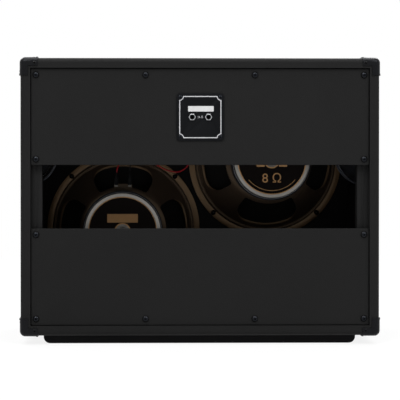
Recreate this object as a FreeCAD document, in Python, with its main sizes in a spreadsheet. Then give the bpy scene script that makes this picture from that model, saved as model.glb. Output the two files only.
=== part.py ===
# Open-back guitar speaker cabinet with two twelve-inch drivers, as a parametric document.
#
# Millimetres, +Z up, origin on the floor under the middle of the box. The grille faces -Y and the
# open back faces +Y. What is seen from behind is drawn in a rear frame: x to the right of somebody
# who looks at the open back, y up, z towards them. REAR turns that frame into the cabinet's own.
import FreeCAD, Part
import math
import os
import re
import Sketcher
from FreeCAD import Placement, Rotation, Vector

REAR = Rotation(Vector(0, 1, 1), 180)
ALONG_Y = Rotation(Vector(1, 0, 0), -90)
LEVEL = Rotation()
FINGERS = 9
SPIDER_WAVES = 8
BOLTS = 4

# Every size that is set by itself, in millimetres, and in degrees where the note says so.
SIZES = {
    # box
    "cover": (0.8, "vinyl covering"),
    "bond": (0.05, "glue line under the covering and the corner protectors"),
    "wall": (17, "boards of the box"),
    "edge_round": (8, "radius on the outer edges of the boards"),
    "box_depth": (290, "front to back over the covering"),
    "side_room": (12.9, "from a driver's rim to the side board"),
    "end_room": (13.8, "from a driver's rim to the top or bottom board"),
    "groove": (6, "depth of the groove that houses the baffle"),
    "groove_fit": (0.1, "clearance of the baffle in its groove"),
    "baffle_thick": (18, "baffle board"),
    # back
    "panel_thick": (12, "rear panels"),
    "panel_recess": (4, "rear panels below the rear edge of the box"),
    "panel_gap": (0.8, "slit round the rear panels"),
    "panel_round": (1, "edge radius of the rear panels"),
    "back_opening": (117, "height of the opening between the rear panels"),
    "cleat": (21, "square section of the rear cleats"),
    "side_inset": (9.2, "panel screw from the panel's side edge"),
    "edge_inset": (11.8, "panel screw from the panel's long outer edge"),
    "mouth_inset": (10.8, "panel screw from the opening's edge"),
    "panel_head": (8.6, "head of a panel screw"),
    "panel_crown": (1.7, "dome of a panel screw's head"),
    "panel_shank": (4, "shank of a panel screw"),
    "panel_screw": (30, "panel screw under its head"),
    "washer_dia": (12.4, "cup washer"),
    "washer_rise": (2.4, "cup washer above the panel"),
    "washer_lip": (0.5, "top edge of a cup washer"),
    "drill_room": (0.1, "clearance round a shank in its hole"),
    "tip_room": (0.5, "clearance beyond a screw's tip"),
    "cross_wide": (0.9, "arm of a cross recess"),
    "cross_deep": (0.8, "depth of a cross recess"),
    # skids
    "skid_height": (16.5, "skids"),
    "skid_width": (40, "skids"),
    "skid_room": (9, "ends of the skids from the corner protectors"),
    "skid_round": (12, "lower end corners of the skids"),
    "skid_inset": (25, "skids from the front and rear faces"),
    "skid_head": (8.5, "head of a skid screw"),
    "skid_shank": (4.5, "shank of a skid screw"),
    "skid_screw": (25, "skid screw under its head"),
    "skid_sink": (6, "counterbore for a skid screw's head"),
    "head_room": (0.5, "clearance round a sunk head"),
    # corner protectors
    "corner_leg": (32, "legs of a corner protector"),
    "corner_arm": (14.3, "arms of a corner protector on the front and rear faces"),
    "corner_wall": (1.5, "corner protector"),
    "corner_rim": (0.8, "raised rim at the end of a leg"),
    "rim_width": (3.5, "width of that rim"),
    "corner_inset": (24, "top and side corner screws from the corner"),
    "corner_end": (5.6, "front and rear corner screws from the ends of the arms"),
    "corner_drop": (9.5, "front and rear corner screws below the top of the box"),
    "trim_head": (6.4, "head of a corner, handle or jack plate screw"),
    "trim_crown": (0.9, "dome of such a head"),
    "trim_edge": (0.3, "edge of such a head"),
    "trim_shank": (3, "shank of such a screw"),
    "trim_screw": (12, "such a screw under its head"),
    # side handles
    "handle_rise": (83, "handles above the middle of the box"),
    "bowl_deep": (56, "handle bowl into the box"),
    "bowl_long": (170, "handle bowl along the depth of the box"),
    "bowl_high": (120, "handle bowl"),
    "bowl_wall": (3, "handle bowl"),
    "bowl_room": (1, "clearance of the bowl in its cut-out"),
    "cut_round": (34, "corners of the handle cut-out"),
    "lap": (11, "handle flange past its cut-out"),
    "lap_thick": (3, "handle flange"),
    "grip_dia": (18, "grip bar"),
    "grip_in": (17, "grip bar's middle below the side face"),
    "grip_up": (20, "grip bar's middle above the bowl's middle"),
    "handle_screw_inset": (11, "handle screws from the flange's edges"),
    # grille
    "grille_recess": (6, "cloth behind the front edge of the box"),
    "cloth": (1, "grille cloth"),
    "frame_thick": (12, "grille frame"),
    "frame_bar": (30, "width of the grille frame's bars"),
    "grille_gap": (1.5, "slit round the grille frame"),
    "pad_thick": (3, "hook-and-loop pads"),
    "pad_wide": (22, "hook-and-loop pads"),
    "pad_long": (45, "hook-and-loop pads"),
    # jack plate
    "plate_side": (87, "jack plate"),
    "plate_round": (5.5, "corners of the jack plate"),
    "plate_thick": (2, "jack plate"),
    "plate_hole": (73, "spacing of the jack plate screws"),
    "plate_back": (62, "cut-out behind the jack plate"),
    "plate_drop": (0.7, "jack plate below the middle of its panel"),
    "jack_pitch": (30, "between the two jacks"),
    "jack_bore": (6.5, "bore of a jack"),
    "bore_deep": (31, "depth of that bore"),
    "bush_dia": (9.4, "threaded bush of a jack"),
    "bush_room": (0.1, "clearance round the bush"),
    "jack_wide": (16, "housing of a jack"),
    "jack_long": (30, "housing of a jack, into the box"),
    "nut_flats": (11.2, "jack nut across flats"),
    "nut_thick": (3, "jack nut"),
    "bush_proud": (0.8, "bush past its nut"),
    "tag_long": (6, "solder tags of a jack"),
    "tag_wide": (4, "solder tags of a jack"),
    "tag_thick": (0.8, "solder tags of a jack"),
    "tag_pitch": (8, "between the two tags of a jack"),
    "lead_dia": (2.6, "leads"),
    # drivers: layout and frame
    "frame_dia": (310, "driver frame"),
    "driver_gap": (9.4, "between the rims of the two drivers"),
    "driver_rise": (136.8, "height between the two drivers' centres"),
    "gasket": (3.2, "gasket"),
    "skin": (0.8, "surround"),
    "sheet": (1.6, "pressed basket"),
    "flange": (15, "basket flange"),
    "cutout_land": (13.5, "baffle cut-out inside the frame's rim"),
    "bolt_inset": (6.5, "bolt circle inside the frame's rim"),
    "bolt_dia": (5, "flange bolts"),
    "bolt_head": (10, "head of a flange bolt"),
    "bolt_crown": (3, "dome of that head"),
    "bolt_edge": (1.5, "edge of that head"),
    "bolt_room": (0.6, "clearance round a flange bolt"),
    "barrel": (7.4, "barrel of a tee nut"),
    "barrel_long": (10, "barrel of a tee nut"),
    "tee_dia": (18, "flange of a tee nut"),
    "tee_thick": (1.6, "flange of a tee nut"),
    "step": (10, "basket step behind the flange"),
    "shoulder": (6.5, "basket shoulder"),
    "funnel": (62, "depth of the basket's windowed funnel"),
    "seat_out": (86, "outer radius of the spider seat"),
    "seat_in": (70, "inner radius of the spider seat"),
    "neck": (14.4, "depth of the basket's neck"),
    "neck_draw": (2, "draw of the neck"),
    "nose": (32, "radius of the basket's central hole"),
    "window_turn": (31.5, "half the angle of a basket window, degrees"),
    "window_rim": (4, "metal between a window and the shoulder"),
    "window_corner": (24, "outer corner radius of a window"),
    "window_nook": (5, "inner corner radius of a window"),
    "window_lap": (0.5, "window into the spider seat"),
    # drivers: moving parts
    "land": (5, "outer land of the surround on the flange"),
    "roll": (12, "width of the surround's two rolls"),
    "roll_radius": (3.6, "radius of a roll"),
    "lip": (6, "flat rim of the cone"),
    "lip_drop": (4, "cone rim behind the flange's front face"),
    "paper": (0.8, "cone"),
    "coil_bore": (44.4, "inside of the coil former"),
    "former": (0.3, "coil former"),
    "winding": (0.7, "coil winding"),
    "winding_long": (15, "coil winding"),
    "coil_gap": (0.35, "air gap beside the coil"),
    "joint_gap": (0.1, "glue line on the coil former"),
    "apex_room": (12, "cone apex in front of the spider seat"),
    "former_front": (5, "former in front of the cone apex"),
    "spider_dish": (4, "depth of the spider's cup"),
    "spider_cloth": (0.7, "spider"),
    "spider_land": (12, "spider on its seat"),
    "wave_radius": (5, "radius of a spider wave"),
    "cap_radius": (38, "dust cap"),
    "cap_rise": (12, "dust cap"),
    "cap_paper": (0.7, "dust cap"),
    # drivers: magnet
    "top_plate": (8, "top plate"),
    "top_dia": (140, "top plate"),
    "magnet": (22, "magnet"),
    "magnet_dia": (156, "magnet"),
    "magnet_hole": (60, "magnet"),
    "back_plate": (10, "back plate"),
    "back_dia": (147, "back plate"),
    "back_chamfer": (2, "rear edge of the back plate"),
    "vent": (16, "vent through the pole"),
    "screen_dia": (31, "vent screen"),
    "screen": (1.2, "vent screen"),
    # drivers: terminals
    "strip_low": (77, "terminal strip above the driver's axis"),
    "strip_high": (14, "terminal strip"),
    "strip_wide": (36, "terminal strip"),
    "strip_thick": (2, "terminal strip"),
    "tab_pitch": (26.6, "between the two tabs"),
    "tab_wide": (6.3, "tabs"),
    "tab_thick": (0.8, "tabs"),
    "tab_root": (6, "tabs on the strip"),
    "tab_out": (8, "tabs past the strip"),
}

# Sizes that follow from the others.
DERIVED = {
    "spread": "sqrt((frame_dia + driver_gap)^2 - driver_rise^2)",
    "inner_x": "(spread + frame_dia) / 2 + side_room",
    "inner_z": "(driver_rise + frame_dia) / 2 + end_room",
    "board_x": "inner_x + wall",
    "board_y": "box_depth / 2 - cover",
    "board_z": "inner_z + wall",
    "out_x": "board_x + cover",
    "out_y": "box_depth / 2",
    "out_z": "board_z + cover",
    "middle": "skid_height + out_z",
    "skid_length": "2 * (out_x - corner_leg - skid_room)",
    "baffle_front": "grille_recess + cloth + frame_thick + pad_thick - out_y",
    "baffle_back": "baffle_front + baffle_thick",
    "panel_back": "out_y - panel_recess",
    "panel_front": "panel_back - panel_thick",
    "panel_x": "inner_x - cover - panel_gap",
    "panel_far": "inner_z - cover - panel_gap",
    "panel_near": "back_opening / 2",
    "panel_middle": "(panel_far + panel_near) / 2",
    "plate_up": "panel_middle - plate_drop",
    "screw_x": "panel_x - side_inset",
    "cut_y": "bowl_long / 2 + bowl_wall + bowl_room",
    "cut_z": "bowl_high / 2 + bowl_wall + bowl_room",
    "grille_x": "inner_x - cover - grille_gap",
    "grille_z": "inner_z - cover - grille_gap",
    "frame_r": "frame_dia / 2",
    "bolt_r": "frame_r - bolt_inset",
    "bolt_xy": "bolt_r * sqrt(0.5)",
    "step_r": "frame_r - flange",
    "shoulder_r": "step_r - shoulder",
    "flange_front": "gasket + skin",
    "flange_back": "flange_front + sheet",
    "shoulder_s": "flange_front + step",
    "seat_s": "shoulder_s + funnel",
    "nose_s": "seat_s + neck",
    "plate_s": "nose_s + sheet",
    "magnet_s": "plate_s + top_plate",
    "back_s": "magnet_s + magnet",
    "tail_s": "back_s + back_plate",
    "window_out": "shoulder_r - window_rim",
    "window_in": "seat_out - window_lap",
    "cone_r": "step_r - roll",
    "bowl_r": "cone_r - lip",
    "lip_s": "flange_front + lip_drop",
    "former_in": "coil_bore / 2",
    "former_out": "former_in + former",
    "coil_out": "former_out + winding",
    "pole_r": "former_in - coil_gap",
    "neck_r": "former_out + joint_gap",
    "apex_s": "seat_s - apex_room",
    "cap_s": "apex_s - (cap_radius - neck_r) * (apex_s - lip_s) / (bowl_r - neck_r) - joint_gap",
    "strip_s": "seat_s + sheet",
    "tab_s": "strip_s + strip_thick",
    "tab_top": "strip_low + strip_high + tab_out",
}

# Routes of the leads, from a jack's tag to a driver's tab, with heights from the middle of the box.
LEADS = {
    "lower_red_lead": [
        (15, 105, 150.35), (15, 84, 149), (13, 62, 138), (11.5, 45, 116), (11, 33, 88), (14, 25, 62),
        (30, 21, 45.5), (54, 18, 46.5), (78, 13, 59), (100, 6, 75), (124, -4, 83), (144, -14, 76),
        (154, -22, 58), (157.6, -25, 43), (157.6, -25, 30.6),
    ],
    "lower_black_lead": [
        (15, 105, 142.35), (16, 86, 140), (20, 68, 130), (28, 52, 113), (40, 40, 95), (58, 30, 83),
        (80, 19, 81), (101, 6, 87), (118, -8, 87), (128, -19, 73), (131, -25, 52), (131, -25, 30.6),
    ],
    "upper_red_lead": [
        (-15, 105, 150.35), (-16, 85, 149), (-22, 66, 145), (-35, 49, 143), (-52, 36, 148), (-71, 23, 157),
        (-90, 10, 170), (-108, -4, 182), (-122, -17, 189), (-131, -25, 180), (-131, -25, 167.4),
    ],
    "upper_black_lead": [
        (-15, 105, 142.35), (-16, 87, 140.5), (-24, 70, 136.5), (-40, 56, 134), (-60, 46, 135),
        (-81, 37, 141), (-101, 26, 151), (-119, 13, 163), (-134, -1, 176), (-147.5, -14.5, 187.5),
        (-157.6, -25, 180), (-157.6, -25, 167.4),
    ],
}
ARC_SHARE = 0.45

doc = FreeCAD.newDocument("SpeakerCabinet")
sheet = doc.addObject("Spreadsheet::Sheet", "Sizes")
for row, (alias, (number, note)) in enumerate(SIZES.items(), 1):
    sheet.set(f"A{row}", note)
    sheet.set(f"B{row}", str(number))
    sheet.setAlias(f"B{row}", alias)
doc.recompute()
pieces = []


# Formulas and placing

def formula(text):
    """Write a formula in size names as an expression on the sheet."""
    def swap(match):
        word = match.group(0)
        if word in DERIVED:
            return f"({formula(DERIVED[word])})"
        return f"Sizes.{word}" if word in SIZES else word
    return re.sub(r"[a-z_]+", swap, text)


def value(text):
    """The present value of a formula."""
    result = sheet.evalExpression(formula(text))
    return float(getattr(result, "Value", result))


def bind(item, **sizes):
    """Bind an object's properties to formulas."""
    for name, text in sizes.items():
        item.setExpression(name, formula(text))


def place(item, x="0", y="0", z="0", turn=LEVEL):
    """Turn an object and bind its position to formulas."""
    item.Placement = Placement(Vector(), turn)
    for axis, text in zip("xyz", (x, y, z)):
        item.setExpression(f"Placement.Base.{axis}", formula(text))
    return item


def keep(item, label):
    """Name a finished sub-part, which becomes one file."""
    item.Label = label
    pieces.append(item)
    return item


# Sketches and bodies

def new_sketch(body, role, height="0"):
    """A sketch on one of the body's own planes, raised along its normal."""
    flat = body.newObject("Sketcher::SketchObject", "Sketch")
    plane = [item for item in body.Origin.OriginFeatures if item.Role == role][0]
    flat.AttachmentSupport = [(plane, "")]
    flat.MapMode = "FlatFace"
    flat.setExpression("AttachmentOffset.Base.z", formula(height))
    return flat


def outline(flat, corners, arcs=None):
    """Draw a closed outline through corners, which are pairs of formulas.

    arcs gives a side's radius and its sense, 1 to the left along the outline and -1 to the right.
    """
    arcs = arcs or {}
    points = [Vector(value(x), value(y), 0) for x, y in corners]
    count = len(points)
    first = flat.GeometryCount
    sides = []
    ends = []
    for index, start in enumerate(points):
        end = points[(index + 1) % count]
        if index not in arcs:
            sides.append(Part.LineSegment(start, end))
            ends.append((1, 2))
            continue
        radius, sense = value(arcs[index][0]), arcs[index][1]
        chord = end - start
        left = Vector(-chord.y, chord.x, 0).normalize()
        rise = math.sqrt(max(radius ** 2 - (chord.Length / 2) ** 2, 0))
        circle = Part.Circle(start + chord * 0.5 + left * (sense * rise), Vector(0, 0, 1), radius)
        begin, finish = (start, end) if sense > 0 else (end, start)
        sides.append(Part.ArcOfCircle(circle, circle.parameter(begin), circle.parameter(finish)))
        ends.append((1, 2) if sense > 0 else (2, 1))
    flat.addGeometry(sides, False)
    rules = []
    formulas = {}
    for index, (x, y) in enumerate(corners):
        after = (index + 1) % count
        here = (first + index, ends[index][0])
        rules.append(Sketcher.Constraint("Coincident", first + index, ends[index][1],
                                         first + after, ends[after][0]))
        formulas[len(rules)] = x
        rules.append(Sketcher.Constraint("DistanceX", -1, 1, *here, points[index].x))
        formulas[len(rules)] = y
        rules.append(Sketcher.Constraint("DistanceY", -1, 1, *here, points[index].y))
        if index in arcs:
            formulas[len(rules)] = arcs[index][0]
            rules.append(Sketcher.Constraint("Radius", first + index, value(arcs[index][0])))
    tie(flat, rules, formulas)


def ring(flat, x, y, radius):
    """Draw a circle about a point, all as formulas."""
    spot = flat.GeometryCount
    centre = Vector(value(x), value(y), 0)
    flat.addGeometry(Part.Circle(centre, Vector(0, 0, 1), value(radius)), False)
    rules = [
        Sketcher.Constraint("DistanceX", -1, 1, spot, 3, centre.x),
        Sketcher.Constraint("DistanceY", -1, 1, spot, 3, centre.y),
        Sketcher.Constraint("Radius", spot, value(radius)),
    ]
    tie(flat, rules, {0: x, 1: y, 2: radius})


def tie(flat, rules, formulas):
    """Add constraints and bind those that have a formula."""
    first = flat.ConstraintCount
    flat.addConstraint(rules)
    for index, text in formulas.items():
        flat.setExpression(f"Constraints[{first + index}]", formula(text))


def rectangle(half_x, half_y, x="0", y="0"):
    """Corners of a rectangle about a point."""
    signs = ((-1, -1), (1, -1), (1, 1), (-1, 1))
    return [(f"{x} + {i} * ({half_x})", f"{y} + {j} * ({half_y})") for i, j in signs]


def soft_rectangle(half_x, half_y, radius):
    """Corners and arcs of a rectangle with round corners about the origin."""
    corners = []
    for i, j in ((-1, -1), (1, -1), (1, 1), (-1, 1)):
        short_x = (f"{i} * ({half_x} - {radius})", f"{j} * ({half_y})")
        short_y = (f"{i} * ({half_x})", f"{j} * ({half_y} - {radius})")
        corners += [short_y, short_x] if i == j else [short_x, short_y]
    return corners, {index: (radius, 1) for index in (0, 2, 4, 6)}


def plate(name, loops, holes, thick, role="XY_Plane"):
    """A body padded from outlines and round holes."""
    body = doc.addObject("PartDesign::Body", name)
    flat = new_sketch(body, role)
    for corners, arcs in loops:
        outline(flat, corners, arcs)
    for x, y, radius in holes:
        ring(flat, x, y, radius)
    pad = body.newObject("PartDesign::Pad", "Pad")
    pad.Profile = flat
    bind(pad, Length=thick)
    return body


def turned(name, corners, arcs=None):
    """A body turned about its z axis from an outline in radius and height."""
    body = doc.addObject("PartDesign::Body", name)
    flat = new_sketch(body, "XZ_Plane")
    outline(flat, corners, arcs)
    spin = body.newObject("PartDesign::Revolution", "Revolution")
    spin.Profile = flat
    spin.ReferenceAxis = (flat, ["V_Axis"])
    return body


def pierce(body, loops, holes, copies=1):
    """Cut outlines and round holes through a body along +z, repeated round the z axis."""
    flat = new_sketch(body, "XY_Plane")
    for corners, arcs in loops:
        outline(flat, corners, arcs)
    for x, y, radius in holes:
        ring(flat, x, y, radius)
    pocket = body.newObject("PartDesign::Pocket", "Pocket")
    pocket.Profile = flat
    pocket.Type = "ThroughAll"
    pocket.Reversed = True
    if copies > 1:
        doc.recompute()
        pattern = body.newObject("PartDesign::PolarPattern", "PolarPattern")
        pattern.Originals = [pocket]
        pattern.Axis = (flat, ["N_Axis"])
        pattern.Angle = 360
        pattern.Occurrences = copies
        body.Tip = pattern


def round_edges(body, radius, wanted):
    """Fillet the edges of a body's last feature that a test picks."""
    doc.recompute()
    base = body.Tip
    names = [f"Edge{i}" for i, edge in enumerate(base.Shape.Edges, 1) if wanted(edge)]
    fillet = body.newObject("PartDesign::Fillet", "Fillet")
    fillet.Base = (base, names)
    bind(fillet, Radius=radius)


# Solids and groups

def block(name, x, y, z):
    """A box between pairs of formulas along x, y and z."""
    item = doc.addObject("Part::Box", name)
    bind(item, Length=f"({x[1]}) - ({x[0]})", Width=f"({y[1]}) - ({y[0]})", Height=f"({z[1]}) - ({z[0]})")
    return place(item, x[0], y[0], z[0])


def rod(name, radius, length):
    """A cylinder from the origin along z."""
    item = doc.addObject("Part::Cylinder", name)
    bind(item, Radius=radius, Height=length)
    return item


def cut(base, *tools):
    """Take tools away from a base, one after the other."""
    for tool in tools:
        item = doc.addObject("Part::Cut", "Cut")
        item.Base = base
        item.Tool = tool
        base = item
    return base


def fuse(*shapes):
    """Join shapes into one solid."""
    item = doc.addObject("Part::MultiFuse", "Fusion")
    item.Shapes = list(shapes)
    return item


def common(*shapes):
    """What shapes have in common."""
    item = doc.addObject("Part::MultiCommon", "Common")
    item.Shapes = list(shapes)
    return item


def group(items):
    """Separate solids in one object."""
    item = doc.addObject("Part::Compound", "Group")
    item.Links = list(items)
    return item


def copy_to(original, spots, turn=LEVEL):
    """Copies of one original at spots, each three formulas."""
    copies = []
    for spot in spots:
        link = doc.addObject("App::Link", "Copy")
        link.LinkedObject = original
        copies.append(place(link, *spot, turn))
    return copies


def mirror(source, axis, at="0"):
    """The image of an object across a plane square to an axis."""
    item = doc.addObject("Part::Mirroring", "Mirror")
    item.Source = source
    item.Normal = Vector(*[float(name == axis) for name in "xyz"])
    item.setExpression(f"Base.{axis}", formula(at))
    return item


def four_ways(source):
    """An object at one corner of the back or front, and its images at the other three."""
    beside = mirror(source, "x")
    return [source, beside, mirror(source, "z", "middle"), mirror(beside, "z", "middle")]


# Fasteners

def crossed(screw, top):
    """Sink a cross recess into a screw's head."""
    arm = "head_arm"
    bars = []
    for wide, long in (("cross_wide", f"{top[1]}"), (f"{top[1]}", "cross_wide")):
        bars.append(block(arm, (f"-({wide}) / 2", f"({wide}) / 2"), (f"-({long}) / 2", f"({long}) / 2"),
                          (f"{top[0]} - cross_deep", f"{top[0]} + cross_deep")))
    return cut(screw, fuse(*bars))


def round_screw(name, head, crown, edge, shank, length, pointed=True):
    """A screw with a domed head, whose head stands on z = 0."""
    tip = f"-({length})"
    corners = [
        ("0", tip), (f"{shank} / 2", f"{tip} + {shank}" if pointed else tip), (f"{shank} / 2", "0"),
        (f"{head} / 2", "0"), (f"{head} / 2", edge), ("0", f"{edge} + {crown}"),
    ]
    dome = f"({head}^2 / 4 + {crown}^2) / (2 * {crown})"
    body = turned(name, corners, {4: (dome, 1)})
    return crossed(body, (f"{edge} + {crown}", f"{head} * 0.55"))


def hole_rod(name, shank, length):
    """The hole that a screw needs, from past its head to past its tip."""
    item = rod(name, f"{shank} / 2 + drill_room", f"{length} + 2 * tip_room + corner_wall + cover")
    return place(item, z=f"-({length}) - tip_room")


def trim_screw_original():
    """Screw of the corners, the handles and the jack plate."""
    return round_screw("TrimScrew", "trim_head", "trim_crown", "trim_edge", "trim_shank", "trim_screw")


# Box

def rounded_block(name, grow):
    """The box's outer shape over the covering, grown all round."""
    corners = rectangle(f"out_x + ({grow})", f"out_y + ({grow})")
    body = plate(name, [(corners, None)], [], f"2 * (out_z + ({grow}))")
    round_edges(body, f"edge_round + cover + ({grow})", lambda edge: True)
    return place(body, z=f"skid_height - ({grow})")


def finger_corners(half_length, first_out):
    """Outline of a board whose two ends interlock with its neighbours."""
    corners = []
    for side in (1, -1):
        for index in range(FINGERS)[::side]:
            long = (index % 2 == 0) == first_out
            reach = half_length if long else f"({half_length} - wall)"
            near = f"2 * board_y * {index} / {FINGERS} - board_y"
            far = f"2 * board_y * {index + 1} / {FINGERS} - board_y"
            ends = (near, far) if side == 1 else (far, near)
            corners += [(f"{side} * {reach}", end) for end in ends]
    return corners


def make_box(corner_holes, handle_holes, skid_holes):
    """The four boards, with grooves for the baffle, and the covering round them."""
    envelope = rounded_block("BoardEnvelope", "-cover")
    groove = block(
        "BaffleGroove", ("-inner_x - groove", "inner_x + groove"), ("baffle_front", "baffle_back"),
        ("middle - inner_z - groove", "middle + inner_z + groove"))
    cut_out = handle_cut_out()
    cut_outs = group([cut_out, mirror(cut_out, "x")])
    flat_outline = finger_corners("board_x", True)
    tall_outline = finger_corners("board_z", False)
    standing = Rotation(Vector(0, 1, 0), -90)
    boards = {
        "top_panel": (flat_outline, ("0", "0", "middle + inner_z"), LEVEL, []),
        "bottom_panel": (flat_outline, ("0", "0", "middle - board_z"), LEVEL, [skid_holes]),
        "left_side_panel": (tall_outline, ("-inner_x", "0", "middle"), standing, [cut_outs, handle_holes]),
        "right_side_panel": (tall_outline, ("board_x", "0", "middle"), standing, [cut_outs, handle_holes]),
    }
    for label, (corners, spot, turn, tools) in boards.items():
        board = place(plate("Board", [(corners, None)], [], "wall"), *spot, turn)
        keep(cut(common(board, envelope), groove, corner_holes, *tools), label)

    skin = cut(rounded_block("CoveringOutside", "0"), rounded_block("CoveringInside", "bond - cover"))
    through = block("BoxOpening", ("cover - inner_x", "inner_x - cover"), ("-box_depth", "box_depth"),
                    ("middle + cover - inner_z", "middle + inner_z - cover"))
    turn_ins = [turn_in("-out_y", "baffle_front"), turn_in("panel_front", "out_y")]
    covering = fuse(cut(skin, through), *[cut(item, through) for item in turn_ins])
    keep(cut(covering, cut_outs, corner_holes, handle_holes, skid_holes), "vinyl_covering")


def turn_in(front, back):
    """Block for the covering that is turned in over the edges of the boards."""
    return block("TurnIn", ("bond - inner_x", "inner_x - bond"), (front, back),
                 ("middle + bond - inner_z", "middle + inner_z - bond"))


def make_baffle():
    """The baffle board with its two cut-outs and the holes for the tee nuts."""
    holes = []
    for side in (-1, 1):
        x, y = f"{side} * spread / 2", f"{side} * driver_rise / 2"
        holes.append((x, y, "frame_r - cutout_land"))
        holes += [(a, b, "barrel / 2 + drill_room") for a, b in bolt_spots(x, y)]
    corners = rectangle("inner_x + groove - groove_fit", "inner_z + groove - groove_fit")
    body = plate("Baffle", [(corners, None)], holes, "baffle_thick")
    keep(place(body, y="baffle_front", z="middle", turn=REAR), "baffle_board")


def bolt_spots(x, y):
    """The four bolt positions round a driver's axis in the rear frame."""
    return [(f"{x} + {i} * bolt_xy", f"{y} + {j} * bolt_xy") for i in (-1, 1) for j in (-1, 1)]


def make_cleats(holes):
    """Battens inside the back edges, which the rear panels are screwed to."""
    depth = ("panel_front - cleat", "panel_front")
    tall = ("middle - inner_z", "middle + inner_z")
    across = ("cleat - inner_x", "inner_x - cleat")
    sides = [block("SideCleat", edges, depth, tall)
             for edges in (("-inner_x", "cleat - inner_x"), ("inner_x - cleat", "inner_x"))]
    crosses = [block("CrossCleat", across, depth, edges)
               for edges in (("middle - inner_z", "middle - inner_z + cleat"),
                             ("middle + inner_z - cleat", "middle + inner_z"))]
    keep(group([cut(item, holes) for item in sides]), "rear_side_cleats")
    keep(group([cut(item, holes) for item in crosses]), "rear_cross_cleats")


# Back

def panel_screw_spots():
    """Screw positions on the rear panels: a row along each long outer edge, one pair by the opening."""
    spots = []
    for side in (-1, 1):
        for share in (-1, -1 / 3, 1 / 3, 1):
            spots.append((f"{share} * screw_x", f"middle + {side} * (panel_far - edge_inset)"))
        for share in (-1, 1):
            spots.append((f"{share} * screw_x", f"middle + {side} * (panel_near + mouth_inset)"))
    return spots


def make_rear_panels(holes, plate_holes):
    """The two rear panels; the upper one is cut out behind the jack plate."""
    for label, side in (("upper_rear_panel", 1), ("lower_rear_panel", -1)):
        body = plate("RearPanel", [(rectangle("panel_x", "(panel_far - panel_near) / 2"), None)], [],
                     "panel_thick")
        round_edges(body, "panel_round", on_rear_face)
        if side == 1:
            pierce(body, [(rectangle("plate_back / 2", "plate_back / 2"), None)], [])
        place(body, y="panel_front", z=f"middle + {side} * panel_middle", turn=REAR)
        tools = [holes, plate_holes] if side == 1 else [holes]
        keep(cut(body, *tools), label)


def on_rear_face(edge):
    """Whether an edge lies on the rear face of a rear panel before it is placed."""
    return abs(edge.BoundBox.ZMin - value("panel_thick")) < 0.01


def make_panel_screws():
    """Oval-headed screws in cup washers."""
    screw_seat = "0.1 * washer_rise"
    corners = [
        ("0", "-panel_screw"), ("panel_shank / 2", "panel_shank - panel_screw"), ("panel_shank / 2", screw_seat),
        ("panel_head / 2", "washer_rise"), ("0", "washer_rise + panel_crown"),
    ]
    dome = "(panel_head^2 / 4 + panel_crown^2) / (2 * panel_crown)"
    body = turned("PanelScrew", corners, {3: (dome, 1)})
    screw = crossed(body, ("washer_rise + panel_crown", "panel_head * 0.55"))
    lip = "panel_head / 2 + 2 * drill_room"
    washer = turned("CupWasher", [
        ("panel_shank / 2 + 3 * drill_room", "0"), ("washer_dia / 2", "0"), (f"{lip} + washer_lip", "washer_rise"),
        (lip, "washer_rise"), ("panel_shank / 2 + 3 * drill_room", screw_seat),
    ])
    spots = [(x, "panel_back", z) for x, z in panel_screw_spots()]
    keep(group(copy_to(screw, spots, ALONG_Y)), "rear_panel_screws")
    keep(group(copy_to(washer, spots, ALONG_Y)), "cup_washers")


def panel_screw_holes():
    """Holes for the panel screws through the panels into the cleats."""
    drill = hole_rod("PanelDrill", "panel_shank", "panel_screw")
    holder = group([drill])
    return group(copy_to(holder, [(x, "panel_back", z) for x, z in panel_screw_spots()], ALONG_Y))


# Skids

def skid_spots():
    """Screw positions of the two skids: the skid's side and the place along it."""
    return [(f"{share} * skid_length", f"{side} * (out_y - skid_inset - skid_width / 2)")
            for side in (-1, 1) for share in (-0.44, -0.15, 0.15, 0.44)]


def skid_screw_holes():
    """Counterbored holes from below, through the skids into the bottom board."""
    shank = place(rod("SkidDrill", "skid_shank / 2 + drill_room", "skid_screw + tip_room"), z="skid_sink")
    bore = place(rod("SkidBore", "skid_head / 2 + head_room", "skid_sink + 1"), z="-1")
    drill = fuse(shank, bore)
    return group(copy_to(drill, [(x, y, "0") for x, y in skid_spots()]))


def make_skids(holes):
    """Two runners under the box with round lower ends, and their screws."""
    corners = [
        ("skid_round - skid_length / 2", "0"), ("skid_length / 2 - skid_round", "0"),
        ("skid_length / 2", "skid_round"), ("skid_length / 2", "skid_height"),
        ("-skid_length / 2", "skid_height"), ("-skid_length / 2", "skid_round"),
    ]
    arcs = {1: ("skid_round", 1), 5: ("skid_round", 1)}
    for label, front in (("front_skid", "skid_inset - out_y"), ("rear_skid", "out_y - skid_inset - skid_width")):
        body = plate("Skid", [(corners, arcs)], [], "skid_width", "XZ_Plane")
        place(body, y=f"{front} + skid_width")
        keep(cut(body, holes), label)
    screw = round_screw("SkidScrew", "skid_head", "trim_crown", "trim_edge", "skid_shank", "skid_screw")
    spots = [(x, y, "skid_sink") for x, y in skid_spots()]
    keep(group(copy_to(screw, spots, Rotation(Vector(1, 0, 0), 180))), "skid_screws")


# Corner protectors

def corner_spots():
    """Places and turns of the three screws of the upper right rear corner protector."""
    back = "out_y - corner_leg / 2"
    along_x = Rotation(Vector(0, 1, 0), 90)
    return [
        (("out_x - corner_inset", back, "middle + out_z + corner_wall"), LEVEL),
        (("out_x + corner_wall", back, "middle + out_z - corner_inset"), along_x),
        (("out_x - corner_leg + corner_end", "out_y + corner_wall", "middle + out_z - corner_drop"), ALONG_Y),
    ]


def at_corners(original):
    """Copies of a screw or its hole at every corner screw of the box."""
    first = []
    for spot, turn in corner_spots():
        first += copy_to(original, [spot], turn)
    rear = four_ways(group(first))
    return group(rear + [mirror(item, "y") for item in rear])


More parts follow.
